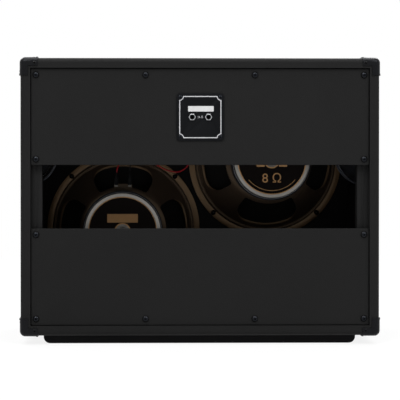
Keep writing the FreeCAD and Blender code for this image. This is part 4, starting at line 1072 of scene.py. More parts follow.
@dataclass
class Fasteners(Assembly):
    """Screws, bolts and cup washers."""

    recipe: FastenerRecipe = field(default_factory=FastenerRecipe)
    slot: str = "black_screw"
    swing: float = 0.8
    screw_x: float = 301.41
    screw_shares: tuple[float, ...] = (-1, -1 / 3, 1 / 3, 1)
    row_z: float = 223.8
    mouth_z: float = 69.3
    panel_back: float = 141.0
    corner_out: Point = (SIDE_OUT, 145.0, 255.0)
    corner_wall: float = 1.5
    corner_inset: float = 24.0
    corner_end: float = 26.4
    corner_drop: float = 9.5
    corner_leg: float = 32.0
    bolt: Screw = Screw(10, 3, 1.5, 5, 23.6)
    bolt_seat: float = -99.4
    trim: Screw = Screw(6.4, 0.9, 0.3, 3.0, 12.0)
    plate_reach: float = 36.5
    handle_face: float = 3.0
    handle_reach: Flat = (89.0, 64.0)
    skid: Screw = Screw(8.5, 0.9, 0.3, 4.5, 25)
    skid_long: float = 578.021
    skid_y: float = 100.0
    skid_seat: float = 6.0
    skid_shares: tuple[float, ...] = (-0.44, -0.15, 0.15, 0.44)
    head_soft: float = 0.2
    head_spans: int = 24
    dome_spans: int = 7
    recess_share: float = 0.3
    recess_arm: float = 0.4
    recess: tuple[Flat, ...] = ((0.35, -2.4), (1.05, 0.4))
    oval_line: tuple[Flat, ...] = ((0, -30), (2, -26), (2, 0.3), (4.2, 2.3), (4.3, 2.5))
    oval_crown: float = 1.6
    oval_top: float = 4.1
    oval_lead: float = 4.0
    oval_recess: float = 2.8
    oval_spans: int = 28
    cup_line: tuple[Flat, ...] = (
        (2.3, 0), (6.2, 0), (6.16, 0.35), (5.9, 1.0), (5.5, 1.7), (5.1, 2.2), (4.8, 2.4),
        (4.55, 2.35), (4.42, 2.2), (3.6, 1.6), (2.3, 0.35))
    cup_spans: int = 40

    def dome(self, radius: float, crown: float, top: float, lead: float = 0.0) -> list[Flat]:
        """Profile of a head's round top.

        Args:
            radius: Radius of the dome's foot.
            crown: Height of the dome.
            top: Height of its pole.
            lead: Degrees that are left out above the foot.

        Returns:
            The points from the foot to the pole.
        """
        ball = (radius * radius + crown * crown) / (2 * crown)
        foot = 90 - math.degrees(math.asin(radius / ball)) + lead
        return arc((0, top - ball), ball, foot, 90, self.dome_spans)[:-1] + [(0, top)]

    def domed(self, screw: Screw) -> Piece:
        """A screw with a domed, cross-recessed head that stands on z = 0."""
        head, shank = screw.head / 2, screw.shank / 2
        top = screw.edge + screw.crown
        profile = [(0, -screw.length), (shank, screw.shank - screw.length), (shank, 0),
                   (head - self.head_soft, 0), (head, self.head_soft)]
        profile += self.dome(head, screw.crown, top)
        piece = Draft().lathe(profile, self.head_spans).piece("domed", BLACK_SCREW)
        return carve(piece, self.cross(screw.head * self.recess_share, top))

    def cross(self, reach: float, top: float) -> Piece:
        """The tool that leaves a cross recess, narrower at its bottom."""
        wide = reach * self.recess_arm
        arm = [(reach, -wide), (reach, wide), (wide, wide)]
        outline: list[Flat] = []
        for _ in range(4):
            outline += arm
            arm = [(-y, x) for x, y in arm]
        rows = raised((scaled(outline, share), top + z) for share, z in self.recess)
        return Draft().loft(rows).piece("cross", BLACK_SCREW)

    def oval(self) -> Piece:
        """An oval-headed screw that sits in a cup washer."""
        dome = self.dome(self.oval_line[-1][0], self.oval_crown, self.oval_top, self.oval_lead)
        turned = Draft().lathe([*self.oval_line, *dome], self.oval_spans)
        return carve(turned.piece("oval", BLACK_SCREW), self.cross(self.oval_recess, self.oval_top))

    def cup(self) -> Piece:
        """A pressed cup washer with a rolled lip."""
        return Draft().lathe(self.cup_line, self.cup_spans).piece("cup", BLACK_SCREW)

    def spread(self, name: str, node: str, shape: Piece, spots: Sequence[Spot], seed: int,
               swing: float, finish: Finish = BLACK_SCREW) -> None:
        """Put a shape on spots.

        Args:
            name: The piece's name.
            node: CAD node that the fasteners stand for.
            shape: The fastener, which is used up.
            spots: Places in millimetres, each with the way that it faces.
            seed: Seed of the turns.
            swing: Most that a fastener is turned about its axis, in radians.
            finish: Finish of the fasteners.
        """
        points = bpy.data.meshes.new(name)
        points.from_pydata([tuple(v * MM for v in spot) for spot, _ in spots], [], [])
        facing = points.attributes.new("facing", "FLOAT_VECTOR", "POINT")
        facing.data.foreach_set("vector", [v for _, way in spots for v in way])
        piece = self.recipe.make(name, {
            "Fastener": shape, "Swing": swing, "Seed": seed, "Finish": finish.material()}, points)
        discard(shape)
        self.hand_in(piece, self.slot, (node,))

    def rearward(self, y: float, flat: Iterable[Flat]) -> list[Spot]:
        """Spots that face the rear, by their x and their height."""
        return [((x, y, z), (0, 1, 0)) for x, z in flat]

    def panel_spots(self) -> list[Spot]:
        """Rows along both panels' outer edges, and a screw at each corner of the opening."""
        flat = [(x * self.screw_x, UP + k * self.row_z) for k in SIDES for x in self.screw_shares]
        flat += [(i * self.screw_x, UP + k * self.mouth_z) for k in SIDES for i in SIDES]
        return self.rearward(self.panel_back, flat)

    def bolt_spots(self) -> list[Spot]:
        """Four bolts on each driver's flange."""
        bolt = BOLT_RADIUS * math.sqrt(0.5)
        return self.rearward(self.bolt_seat, [
            (side * DRIVER_ACROSS + i * bolt, UP - side * DRIVER_RISE + j * bolt)
            for side in SIDES for i in SIDES for j in SIDES])

    def plate_spots(self) -> list[Spot]:
        """A screw in each corner of the jack plate."""
        reach = self.plate_reach
        return self.rearward(PLATE_FACE, [
            (i * reach, PLATE_UP + j * reach) for i in SIDES for j in SIDES])

    def corner_spots(self) -> list[Spot]:
        """Three screws on each of the eight corner protectors."""
        x, y, z = self.corner_out
        back = y - self.corner_leg / 2
        first = [((x - self.corner_inset, back, z + self.corner_wall), (0, 0, 1)),
                 ((x + self.corner_wall, back, z - self.corner_inset), (1, 0, 0)),
                 ((x - self.corner_end, y + self.corner_wall, z - self.corner_drop), (0, 1, 0))]
        signs = [(i, j, k) for i in SIDES for j in SIDES for k in SIDES]
        return [((i * p[0], j * p[1], UP + k * p[2]), (i * w[0], j * w[1], k * w[2]))
                for i, j, k in signs for p, w in first]

    def handle_spots(self) -> list[Spot]:
        """A screw in each corner of both handles."""
        along, high = self.handle_reach
        face = SIDE_OUT + self.handle_face
        return [((side * face, i * along, BOWL_UP + j * high), (side, 0, 0))
                for side in SIDES for i in SIDES for j in SIDES]

    def skid_spots(self) -> list[Spot]:
        """Four screws up into each skid."""
        return [((share * self.skid_long, side * self.skid_y, self.skid_seat), (0, 0, -1))
                for side in SIDES for share in self.skid_shares]

    def build(self) -> None:
        """Make every row of fasteners."""
        panel, plate = self.panel_spots(), self.plate_spots()
        self.spread("panel_screws", "rear_panel_screws", self.oval(), panel, 3, self.swing,
                    OILED_SCREW)
        self.spread("panel_cups", "cup_washers", self.cup(), panel, 0, 0.0)
        self.spread("flange_bolts", "speaker_bolts", self.domed(self.bolt), self.bolt_spots(), 5,
                    self.swing)
        self.spread("plate_screws", "jack_plate_screws", self.domed(self.trim), plate, 7,
                    self.swing, OILED_SCREW)
        for name, node, screw, spots, seed in (
                ("protector_screws", "corner_screws", self.trim, self.corner_spots(), 11),
                ("handle_fixings", "handle_screws", self.trim, self.handle_spots(), 13),
                ("skid_fixings", "skid_screws", self.skid, self.skid_spots(), 17)):
            self.spread(name, node, self.domed(screw), spots, seed, self.swing)


@dataclass
class CoveredBox(Assembly):
    """Boards, covering, rear panels, cleats, skids, corner protectors and handles."""

    corner_soft: float = 0.55
    handle_soft: float = 0.8
    skid_soft: float = 1.4
    cleat_soft: float = 0.7
    bowl: Point = (59.0, 88.0, 63.0)
    rib: float = 1.1
    rib_y: float = 12.0
    rib_start: float = -72.0
    rib_step: float = 3.0
    rib_rows: int = 49
    rib_sides: int = 10

    def rib_bow(self, side: int, end: int) -> list[list[Point]]:
        """Outlines along a thin rib round a handle's bowl inside the box: a pale line, a painted
        highlight.
        """
        deep, long, high = self.bowl
        share = math.sqrt(1 - (self.rib_y / long) ** 2)
        rows = []
        for step in range(self.rib_rows):
            turn = math.radians(self.rib_start + self.rib_step * step)
            c, s = math.cos(turn), math.sin(turn)
            way = Vector((-side * c / deep, 0, s / high)).normalized()
            spot = Vector((side * (SIDE_OUT - deep * share * c), end * self.rib_y,
                           BOWL_UP + high * share * s))
            rows.append([tuple(spot + way * a + Vector((0, b, 0)))
                         for a, b in circle(self.rib, self.rib_sides)])
        return rows

    def ribs(self) -> Piece:
        """Two ribs on each bowl, in a pale finish that paints a highlight."""
        whole = Draft()
        for side in SIDES:
            for end in SIDES:
                whole.loft(self.rib_bow(side, end))
        return whole.piece("bowl_ribs", RIB_HIGHLIGHT)

    def build(self) -> None:
        """Dress the wood and the covering, and round the edges of the hard trim."""
        self.dress(VINYL, "vinyl_covering", "upper_rear_panel", "lower_rear_panel")
        self.dress(BOARD_ACROSS, "top_panel", "bottom_panel", "baffle_board", "grille_frame")
        self.dress(BOARD_UPRIGHT, "left_side_panel", "right_side_panel")
        for run in ("side", "cross"):
            self.eased(f"{run}_cleats", CLEAT, "box_board", self.cleat_soft, f"rear_{run}_cleats")
        for end in ("front", "rear"):
            self.eased(f"{end}_runner", SKID, "skid_black", self.skid_soft, f"{end}_skid")
            self.eased(f"{end}_corners", MOULDED, "moulded_black", self.corner_soft,
                       f"{end}_corner_protectors")
        for side in ("left", "right"):
            self.eased(f"{side}_dish", HANDLE, "moulded_black", self.handle_soft,
                       f"{side}_handle_dish")
        self.dress(HANDLE, "handle_grips")
        # Painted highlight: pale ribs along the bowls' edges
        self.hand_in(self.ribs(), "moulded_black")


@dataclass
class Grille(Assembly):
    """Cloth on its frame, and the tapes that hold the frame."""

    middle_y: float = -138.5
    relief: float = 0.22
    thick: float = 0.5
    tape_soft: float = 0.6
    sharp: float = 80.0

    def build(self) -> None:
        """Weave the cloth and stretch it on the frame."""
        width, height = (size * MM for size in CLOTH)
        columns, rows = (count + 1 for count in YARNS)
        cloth = WeaveRecipe().make("grille_basket_weave", {
            "Width": width, "Height": height, "Columns": columns, "Rows": rows,
            "Relief": self.relief * MM, "Finish": GRILLE.material()},
            thick=self.thick * MM, angle=self.sharp)
        cloth.data.transform(rear(0, self.middle_y * MM, UP * MM))
        self.hand_in(cloth, "grille_weave", ("grille_cloth",))
        self.eased("frame_tapes", HOOKS, "hook_pad", self.tape_soft, "grille_pads")


def lettering(name: str, words: str, size: float, finish: Finish, spot: Point) -> Piece:
    """A few printed signs, read from the rear.

    Args:
        name: Name of the piece.
        words: The signs.
        size: Their size in mm.
        finish: Their ink.
        spot: Middle of the signs on the face they are printed on, in mm.

    Returns:
        The signs as a thin closed mesh.
    """
    ink = 0.03
    curve = bpy.data.curves.new(name, "FONT")
    curve.body = words
    curve.align_x = "CENTER"
    curve.align_y = "CENTER"
    curve.size = size * MM
    curve.extrude = ink * MM
    text = linked(name, curve)
    bpy.context.view_layer.update()
    graph = bpy.context.evaluated_depsgraph_get()
    mesh = bpy.data.meshes.new_from_object(text.evaluated_get(graph))
    discard(text)
    x, y, z = spot
    mesh.transform(rear(x * MM, (y + ink) * MM, z * MM))
    mesh.materials.clear()
    mesh.materials.append(finish.material())
    return linked(name, mesh)


@dataclass
class JackPlate(Assembly):
    """The plate with its printed border, blank sticker, jacks and nuts."""

    plate_soft: float = 0.35
    line_out: float = 38.6
    line: float = 1.6
    line_high: float = 0.08
    bite: float = 7.2
    bite_share: float = 0.9
    bite_spans: int = 12
    sticker: Flat = (47.0, 10.0)
    sticker_soft: float = 0.9
    sticker_high: float = 0.15
    sticker_spot: Flat = (-1.0, 15.2)
    load: str = "16 Ω"
    load_size: float = 5.0
    jack_y: float = 141.0
    pitch: float = 30.0
    bush_foot: tuple[Flat, Flat] = ((3.9, -2.0), (4.7, -2.0))
    thread: Flat = (4.7, 4.42)
    thread_low: float = 2.2
    thread_pitch: float = 0.7
    thread_flank: float = 0.3
    thread_turns: int = 5
    bush_mouth: tuple[Flat, ...] = (
        (4.62, 5.5), (4.4, 5.75), (4.0, 5.8), (3.5, 5.7), (3.25, 5.4), (3.25, -25.2), (0, -25.2),
        (0, -26.0), (3.9, -26.0))
    bush_spans: int = 48
    body: Point = (8.0, 8.0, 1.2)
    body_spans: int = 7
    body_ends: Flat = (-30.0, -0.05)
    hollow: float = 4.0
    hollow_end: float = -26.2
    flats: float = 11.2
    nut_sides: int = 6
    nut_bore: float = 4.75
    nut_line: tuple[Flat, ...] = ((0.93, 2.0), (1.0, 2.35), (1.0, 4.6), (0.92, 5.0))
    tag: Point = (2.0, 3.4, 0.9)
    tag_half: float = 0.4
    tag_apart: float = 4.0
    tag_z: float = -33.0
    solder_z: float = -34.4
    solder_line: tuple[Flat, ...] = (
        (0, -2.6), (1.3, -2.2), (2.0, -0.8), (1.9, 0.7), (1.0, 2.0), (0, 2.4))
    solder_spans: int = 16

    def border(self) -> Piece:
        """A printed line with a hollow corner round each screw."""
        loops = []
        for inset, radius in ((0.0, self.bite),
                              (self.line, self.bite + self.line * self.bite_share)):
            reach = math.sqrt(radius ** 2 - inset ** 2)
            swing = math.degrees(math.atan2(inset, reach))
            loop: list[Flat] = []
            for i, corner in enumerate(scaled(CORNERS, self.line_out)):
                start, stop = 270 + 90 * i - swing, 180 + 90 * i + swing
                loop += arc(corner, radius, start, stop, self.bite_spans)
            loops.append(loop)
        outer, inner = loops
        rows = raised(((outer, 0.0), (outer, self.line_high), (inner, self.line_high),
                       (inner, 0.0)))
        draft = Draft().belt(rows).place(rear(0, PLATE_FACE, PLATE_UP))
        return draft.piece("plate_border", PLATE_INK)

    def paper(self) -> Piece:
        """The blank sticker above the jacks."""
        wide, high = self.sticker
        x, up = self.sticker_spot
        draft = Draft().prism(soft_rectangle(wide / 2, high / 2, self.sticker_soft), 0.0,
                              self.sticker_high)
        return draft.place(rear(x, PLATE_FACE, PLATE_UP + up)).piece("plate_sticker", STICKER)

    def mark(self) -> Piece:
        """The load in ohms between the jacks."""
        spot = (0, PLATE_FACE, PLATE_UP)
        return lettering("plate_ohms", self.load, self.load_size, PLATE_INK, spot)

    def bush(self) -> Draft:
        """A threaded bush with a rounded mouth, drawn from the front of the plate."""
        crest, root = self.thread
        profile = list(self.bush_foot)
        for i in range(self.thread_turns):
            low = self.thread_low + self.thread_pitch * i
            profile += [(crest, low), (root, low + self.thread_flank)]
        return Draft().lathe([*profile, *self.bush_mouth], self.bush_spans)

    def housing(self) -> Draft:
        """The jack's moulded body, open for the bush."""
        low, high = self.body_ends
        outer = soft_rectangle(*self.body, self.body_spans)
        inner = [scaled((spot,), self.hollow / math.hypot(*spot))[0] for spot in outer]
        levels = ((outer, low), (outer, high), (inner, high), (inner, self.hollow_end))
        return Draft().loft(raised(levels))

    def nut(self) -> Draft:
        """A hex nut with its points to the sides and turned faces."""
        hexagon = circle(self.flats / math.sqrt(3), self.nut_sides)
        bore = circle(self.nut_bore, self.nut_sides)
        levels = [(scaled(hexagon, share), z) for share, z in self.nut_line]
        levels += [(bore, self.nut_line[end][1]) for end in (-1, 0)]
        return Draft().belt(raised(levels))

    def tags(self) -> Draft:
        """Two solder tags with round ends, and the solder on them."""
        draft = Draft()
        for side in SIDES:
            tag = Draft().prism(soft_rectangle(*self.tag), -self.tag_half, self.tag_half)
            tag.place(Matrix.Rotation(math.pi / 2, 4, "X"))
            draft.join(tag.shift(0, side * self.tag_apart, self.tag_z))
            bead = Draft().lathe(self.solder_line, self.solder_spans)
            draft.join(bead.shift(0, side * self.tag_apart, self.solder_z))
        return draft

    def both(self, name: str, finish: Finish, draw: Callable[[], Draft]) -> Piece:
        """A part of the jacks, drawn at both of them."""
        whole = Draft()
        for side in SIDES:
            whole.join(draw().place(rear(side * self.pitch / 2, self.jack_y, PLATE_UP)))
        return whole.piece(name, finish)

    def build(self) -> None:
        """Make the plate and what it carries."""
        self.eased("plate_sheet", PLATE, "plate_black", self.plate_soft, "jack_plate")
        for printed in (self.border(), self.paper(), self.mark()):
            self.hand_in(printed)
        for name, finish, draw, slot, nodes in (
                ("jack_housings", JACK_BODY, self.housing, "jack_moulding",
                 ("input_jack", "link_jack")),
                ("jack_bushes", JACK_BODY, self.bush, "jack_moulding", ()),
                ("jack_hex_nuts", CHROME, self.nut, "jack_chrome", ("jack_nuts",)),
                ("jack_tags", TINNED, self.tags, "plated_steel", ())):
            self.hand_in(self.both(name, finish, draw), slot, nodes)


@dataclass(frozen=True)
class SoftRing:
    """A corrugated ring between a driver's basket and its cone.

    Radii run from its inner edge to its outer one, and heights are those of its two edges over
    the baffle. The bend, from where it stays fixed to where it moves with the cone, is not used.
    """

    name: str
    node: str
    slot: str
    finish: Finish
    radii: Flat
    waved: Flat
    heights: Flat
    waves: float
    wave_height: float
    one_sided: float
    spans: tuple[int, int]
    bend: Flat
    thick: float = 0.6
    sharp: float = 60.0

    def values(self) -> dict[str, object]:
        """Inputs of the recipe, with lengths in metres."""
        lengths = {
            "Inner radius": self.radii[0], "Outer radius": self.radii[1],
            "Waves from": self.waved[0], "Waves to": self.waved[1],
            "Inner height": self.heights[0], "Outer height": self.heights[1],
            "Wave height": self.wave_height}
        return {**{key: value * MM for key, value in lengths.items()},
                "Waves": self.waves, "One sided": self.one_sided,
                "Round": self.spans[0] + 1, "Across": self.spans[1] + 1,
                "Finish": self.finish.material()}


SOFT_RINGS = (
    SoftRing("rolled_surround", "surround", "surround_cloth", SURROUND, (122.2, 144.9),
             (128.5, 139.5), (6.8, 3.6), 2.0, 0.8, 1.0, (192, 44), (3.9, 6.6)),
    SoftRing("waved_spider", "spider", "spider_cloth", SPIDER, (22.6, 81.8),
             (24.2, 69.9), (71.65, 75.65), 4.0, 0.7, 0.0, (144, 72), (75.2, 72.2)),
)


@dataclass
class Driver(Assembly):
    """One twelve-inch driver, drawn along its axis from the back of the baffle."""

    name: str
    side: int
    fields: tuple[tuple[float, float, float, float], ...] = ((-29.5, 29.5, 16.4, 33.0),)
    baffle_back: float = -105.0
    frame_spans: int = 160
    plate_spans: int = 128
    sheet: float = 1.6
    flange_line: tuple[Flat, ...] = (
        (155, 4.8), (141.6, 4.8), (140.6, 15.0), (138.4, 15.0), (136.0, 13.0))
    funnel: tuple[Flat, Flat] = ((133.8, 15.2), (86.8, 76.8))
    neck_line: tuple[Flat, ...] = ((70.8, 76.8), (68.9, 91.2), (32, 91.2))
    bends: tuple[float, ...] = (2.2, 0.9, 0.9, 1.2, 1.2, 26.0, 2.2, 2.6)
    window: Flat = (85.5, 129.5)
    window_half: float = 32.5
    window_corner: float = 24.0
    window_nook: float = 5.0
    bow_spans: int = 8
    nook_spans: int = 6
    window_cut: Flat = (17.2, 88.0)
    window_soft: float = 0.5
    slot_half: float = 3.1
    slot_out: float = 160.0
    slot_cut: Flat = (0.0, 10.0)
    lip: Flat = (2.3, 1.3)
    lip_in: float = 1.8
    lip_up: float = 1.2
    lip_points: int = 14
    lip_sides: int = 12
    lip_end: float = 0.15
    lip_growth: float = 0.22
    # Painted light on the flange face: its radii, levels and rounded edge
    painted_light_radii: Flat = (143.6, 154.7)
    painted_light_levels: Flat = (5.5, 5.68)
    painted_light_edge: Flat = (0.2, 0.05)
    tail: float = 132.0
    plate_line: tuple[Flat, ...] = (
        (8, 92.0), (21.4, 92.0), (21.85, 92.45), (21.85, 122.0), (73.5, 122.0), (73.5, 130.6),
        (73.3, 131.3), (72.8, 131.8), (72.2, 132.0), (9.2, 132.0), (8, 130.8))
    bead: float = 0.5
    bead_spot: Flat = (75.0, 122.1)
    bead_sides: int = 8
    label: Flat = (13.2, 66.6)
    label_levels: Flat = (131.9, 132.2)
    ring_wide: Flat = (2.4, 1.9)
    ring_levels: Flat = (132.1, 132.32)
    field_levels: Flat = (132.1, 132.28)
    field_soft: float = 1.0
    line: Flat = (58.2, 59.2)
    line_swing: float = 50.0
    line_spans: int = 32
    load: str = "8 Ω"
    load_size: float = 25.0
    load_down: float = 35.5
    load_up: float = 0.2
    screen: Point = (13.6, 1.5, 0.28)
    screen_wires: int = 18
    screen_up: float = 0.75
    board: Point = (18.0, 7.0, 1.2)
    board_levels: Flat = (77.6, 79.6)
    board_out: float = 84.0
    board_soft: float = 0.25
    tab_line: tuple[Flat, ...] = (
        (-3.15, 0), (3.15, 0), (3.15, 12.6), (2.3, 14), (-2.3, 14), (-3.15, 12.6))
    tab_levels: Flat = (79.6, 80.4)
    tab_soft: float = 0.15
    tab_spot: Flat = (13.3, 85.0)
    rivet_line: tuple[Flat, ...] = (
        (0, 79.0), (1.9, 79.0), (1.9, 80.6), (1.6, 81.1), (0.9, 81.3), (0, 81.3))
    rivet_spot: Flat = (13.3, 87.2)
    rivet_spans: int = 20
    foot_line: tuple[Flat, ...] = ((0, 77.0), (1.5, 77.0), (1.5, 79.8), (1.2, 80.2), (0, 80.3))
    foot_spot: Flat = (5.0, 80.0)
    foot_spans: int = 16

    @property
    def centre(self) -> Point:
        """Where the axis leaves the baffle."""
        return (self.side * DRIVER_ACROSS, self.baffle_back, UP - self.side * DRIVER_RISE)

    def put(self, draft: Draft, name: str, finish: Finish) -> Piece:
        """Set a draft on the driver's axis and finish it."""
        return draft.place(rear(*self.centre)).piece(f"{self.name}_{name}", finish)

    def set_back(self, piece: Piece, along: float = 0.0) -> Piece:
        """Move a piece from the origin to a point of the driver's axis."""
        x, y, z = self.centre
        piece.data.transform(rear(x * MM, (y + along) * MM, z * MM))
        return piece

    def quartered(self, draw: Callable[[], Draft], start: float = 0.0) -> Draft:
        """What is drawn beside the x axis, four times round the driver."""
        whole = Draft()
        for quarter in range(4):
            whole.join(draw().turn(start + 90 * quarter))
        return whole

    def window_outline(self) -> list[Flat]:
        """Outline of the window beside the x axis."""
        inner, outer = self.window
        half, corner, nook = self.window_half, self.window_corner, self.window_nook
        far = half - math.degrees(math.asin(corner / (outer - corner)))
        near = half - math.degrees(math.asin(nook / (inner + nook)))

        def spot(radius: float, turn: float) -> Flat:
            """A point by its radius and angle."""
            return (radius * math.cos(math.radians(turn)), radius * math.sin(math.radians(turn)))

        upper = arc((0, 0), outer, 0, far, self.bow_spans)
        upper += arc(spot(outer - corner, far), corner, far, half + 90, self.bow_spans)[1:]
        upper += arc(spot(inner + nook, near), nook, half + 90, near + 180, self.nook_spans)
        upper += arc((0, 0), inner, near, 0, self.bow_spans)[1:]
        return upper + [(x, -y) for x, y in upper[-2:0:-1]]

    def basket(self) -> Piece:
        """The pressed basket: flange, beaded shoulder, windowed funnel, seat and neck."""
        line = [*self.flange_line, *self.funnel, *self.neck_line]
        sheet = thickened(soft_corners(line, self.bends), self.sheet)
        basket = self.put(Draft().lathe(sheet, self.frame_spans), "pressed_basket", BASKET)
        outline = self.window_outline()
        tool = self.quartered(lambda: Draft().prism(outline, *self.window_cut))
        return carve(basket, self.put(tool.join(self.slots()), "windows", BASKET),
                     self.window_soft)

    def slots(self) -> Draft:
        """The tool that leaves the bolt slots in the flange."""
        near, far, half = BOLT_RADIUS, self.slot_out, self.slot_half
        outline = [(near, -half), (far, -half), (far, half), (near, half)]
        outline += arc((near, 0), half, 120, 240, 4)
        return self.quartered(lambda: Draft().prism(outline, *self.slot_cut), 45)

    def lips(self) -> Piece:
        """The turned lip on each window's outer edge, fading round its corners, paler as a painted
        highlight.
        """
        outline = self.window_outline()
        points = outline[-self.lip_points:] + outline[:self.lip_points + 1]
        path = [Vector(spot) for spot in points]
        (far, low), (near, high) = self.funnel
        half_wide, half_high = self.lip
        last = len(path) - 3
        rows = []
        for i, (before, spot, after) in enumerate(zip(path, path[1:], path[2:])):
            way = (after - before).normalized()
            inward = Vector((-way.y, way.x, 0))
            rise = low + (far - spot.length) * (high - low) / (far - near) + self.lip_up
            share = min(1.0, self.lip_end + self.lip_growth * min(i, last - i))
            middle = Vector((spot.x, spot.y, rise)) + inward * self.lip_in * share
            rows.append([
                tuple(middle + share * (inward * half_wide * c + Vector((0, 0, half_high * s))))
                for c, s in circle(1.0, self.lip_sides)])
        return self.put(self.quartered(lambda: Draft().loft(rows)), "window_lips", LIP_HIGHLIGHT)

    def rim(self) -> Piece:
        """A paler ring on the flange's rear face: painted light on the flange."""
        inside, outside = self.painted_light_radii
        low, high = self.painted_light_levels
        wide, deep = self.painted_light_edge
        ring = Draft().lathe([
            (inside, low), (outside, low), (outside, high - deep), (outside - wide, high),
            (inside + wide, high), (inside, high - deep)], self.frame_spans)
        return carve(self.put(ring, "flange_face", PAINTED_LIGHT_FLANGE), self.put(self.slots(), "slots", PAINTED_LIGHT_FLANGE))

    def back_plate(self) -> Draft:
        """Turned back plate with its pole, vent and soft rear edge."""
        return Draft().lathe(self.plate_line, self.plate_spans)

    def glue(self) -> Draft:
        """The bead of glue between the back plate and the magnet."""
        x, along = self.bead_spot
        line = [(x + a, along + b) for a, b in circle(self.bead, self.bead_sides)]
        return Draft().lathe(line, self.plate_spans)

    def labels(self) -> tuple[Piece, ...]:
        """A dark label, its tan rings, fields and line along the rim, and the load in ohms."""
        near, far = self.label
        near_wide, far_wide = self.ring_wide
        sheet = Draft().lathe(washer(near, far, *self.label_levels), self.plate_spans)
        rings = Draft()
        for inside, outside in ((far - far_wide, far), (near, near + near_wide)):
            rings.lathe(washer(inside, outside, *self.ring_levels), self.plate_spans)
        for left, right, low, high in self.fields:
            patch = soft_rectangle((right - left) / 2, (high - low) / 2, self.field_soft)
            blank = Draft().prism(patch, *self.field_levels)
            rings.join(blank.shift((left + right) / 2, (high + low) / 2))
        inner, outer = self.line
        start, stop = 270 - self.line_swing, 270 + self.line_swing
        rim = arc((0, 0), outer, start, stop, self.line_spans)
        rim += arc((0, 0), inner, stop, start, self.line_spans)
        rings.join(Draft().prism(rim, *self.field_levels))
        x, y, z = self.centre
        spot = (x, y + self.tail + self.load_up, z - self.load_down)
        load = lettering(f"{self.name}_load", self.load, self.load_size, LABEL_TAN, spot)
        return (self.put(sheet, "label", LABEL_DARK), self.put(rings, "label_rings", LABEL_TAN),
                load)

    def vent(self) -> Piece:
        """The wire screen over the vent."""
        radius, pitch, wire = (size * MM for size in self.screen)
        screen = ScreenRecipe().make(f"{self.name}_vent_wires", {
            "Radius": radius, "Pitch": pitch, "Wire": wire, "Wires": self.screen_wires,
            "Finish": SCREEN.material()})
        return self.set_back(screen, self.tail + self.screen_up)

    def strip(self) -> tuple[Piece, Piece]:
        """The terminal strip, and its riveted push-on tabs."""
        board = Draft().prism(soft_rectangle(*self.board), *self.board_levels)
        board.shift(0, self.board_out).ease(self.board_soft)
        metal = Draft()
        for way in SIDES:
            tab = Draft().prism(self.tab_line, *self.tab_levels).ease(self.tab_soft)
            rivet = Draft().lathe(self.rivet_line, self.rivet_spans)
            foot = Draft().lathe(self.foot_line, self.foot_spans)
            for whole, part, (apart, out) in ((metal, tab, self.tab_spot),
                                              (metal, rivet, self.rivet_spot),
                                              (board, foot, self.foot_spot)):
                whole.join(part.shift(way * apart, out))
        return self.put(board, "strip_board", STRIP), self.put(metal, "push_on_tabs", TINNED)

    def soft_parts(self) -> None:
        """Surround and spider, between the basket and the cone, as fixed meshes."""
        recipe = SweptRecipe()
        for soft in SOFT_RINGS:
            piece = self.set_back(recipe.make(
                f"{self.name}_{soft.name}", soft.values(), thick=soft.thick * MM,
                angle=soft.sharp))
            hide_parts(f"{self.name}_{soft.node}")
            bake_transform(piece)

    def build(self) -> None:
        """Make and dress the whole driver."""
        tag = self.name
        self.hand_in(self.basket(), "basket_paint", (f"{tag}_basket",))
        # Painted light: a paler ring on the flange face
        self.hand_in(self.rim(), "basket_paint")
        # Painted highlight: the window lips in a paler finish
        self.hand_in(self.lips(), "basket_paint")
        plate = self.put(self.back_plate(), "turned_back_plate", BARE_STEEL)
        self.hand_in(plate, "plated_steel", (f"{tag}_back_plate",))
        self.hand_in(self.put(self.glue(), "glue_bead", GLUE))
        for printed in self.labels():
            self.hand_in(printed)
        self.hand_in(self.vent(), "vent_mesh", (f"{tag}_vent_screen",))
        board, tabs = self.strip()
        self.hand_in(board, "strip_board", (f"{tag}_terminal_strip",))
        self.hand_in(tabs, "plated_steel")
        self.soft_parts()
        for finish, *nodes in ((CARD, "gasket"), (CONE, "cone", "dust_cap"), (COPPER, "voice_coil"),
                               (PLATED, "top_plate"), (FERRITE, "magnet")):
            self.dress(finish, *(f"{tag}_{node}" for node in nodes))


DRIVERS = (
    Driver("lower", 1),
    Driver("upper", -1, fields=((-29.5, -14.0, -12.4, 12.4), (14.0, 29.5, -12.4, 12.4))),
)


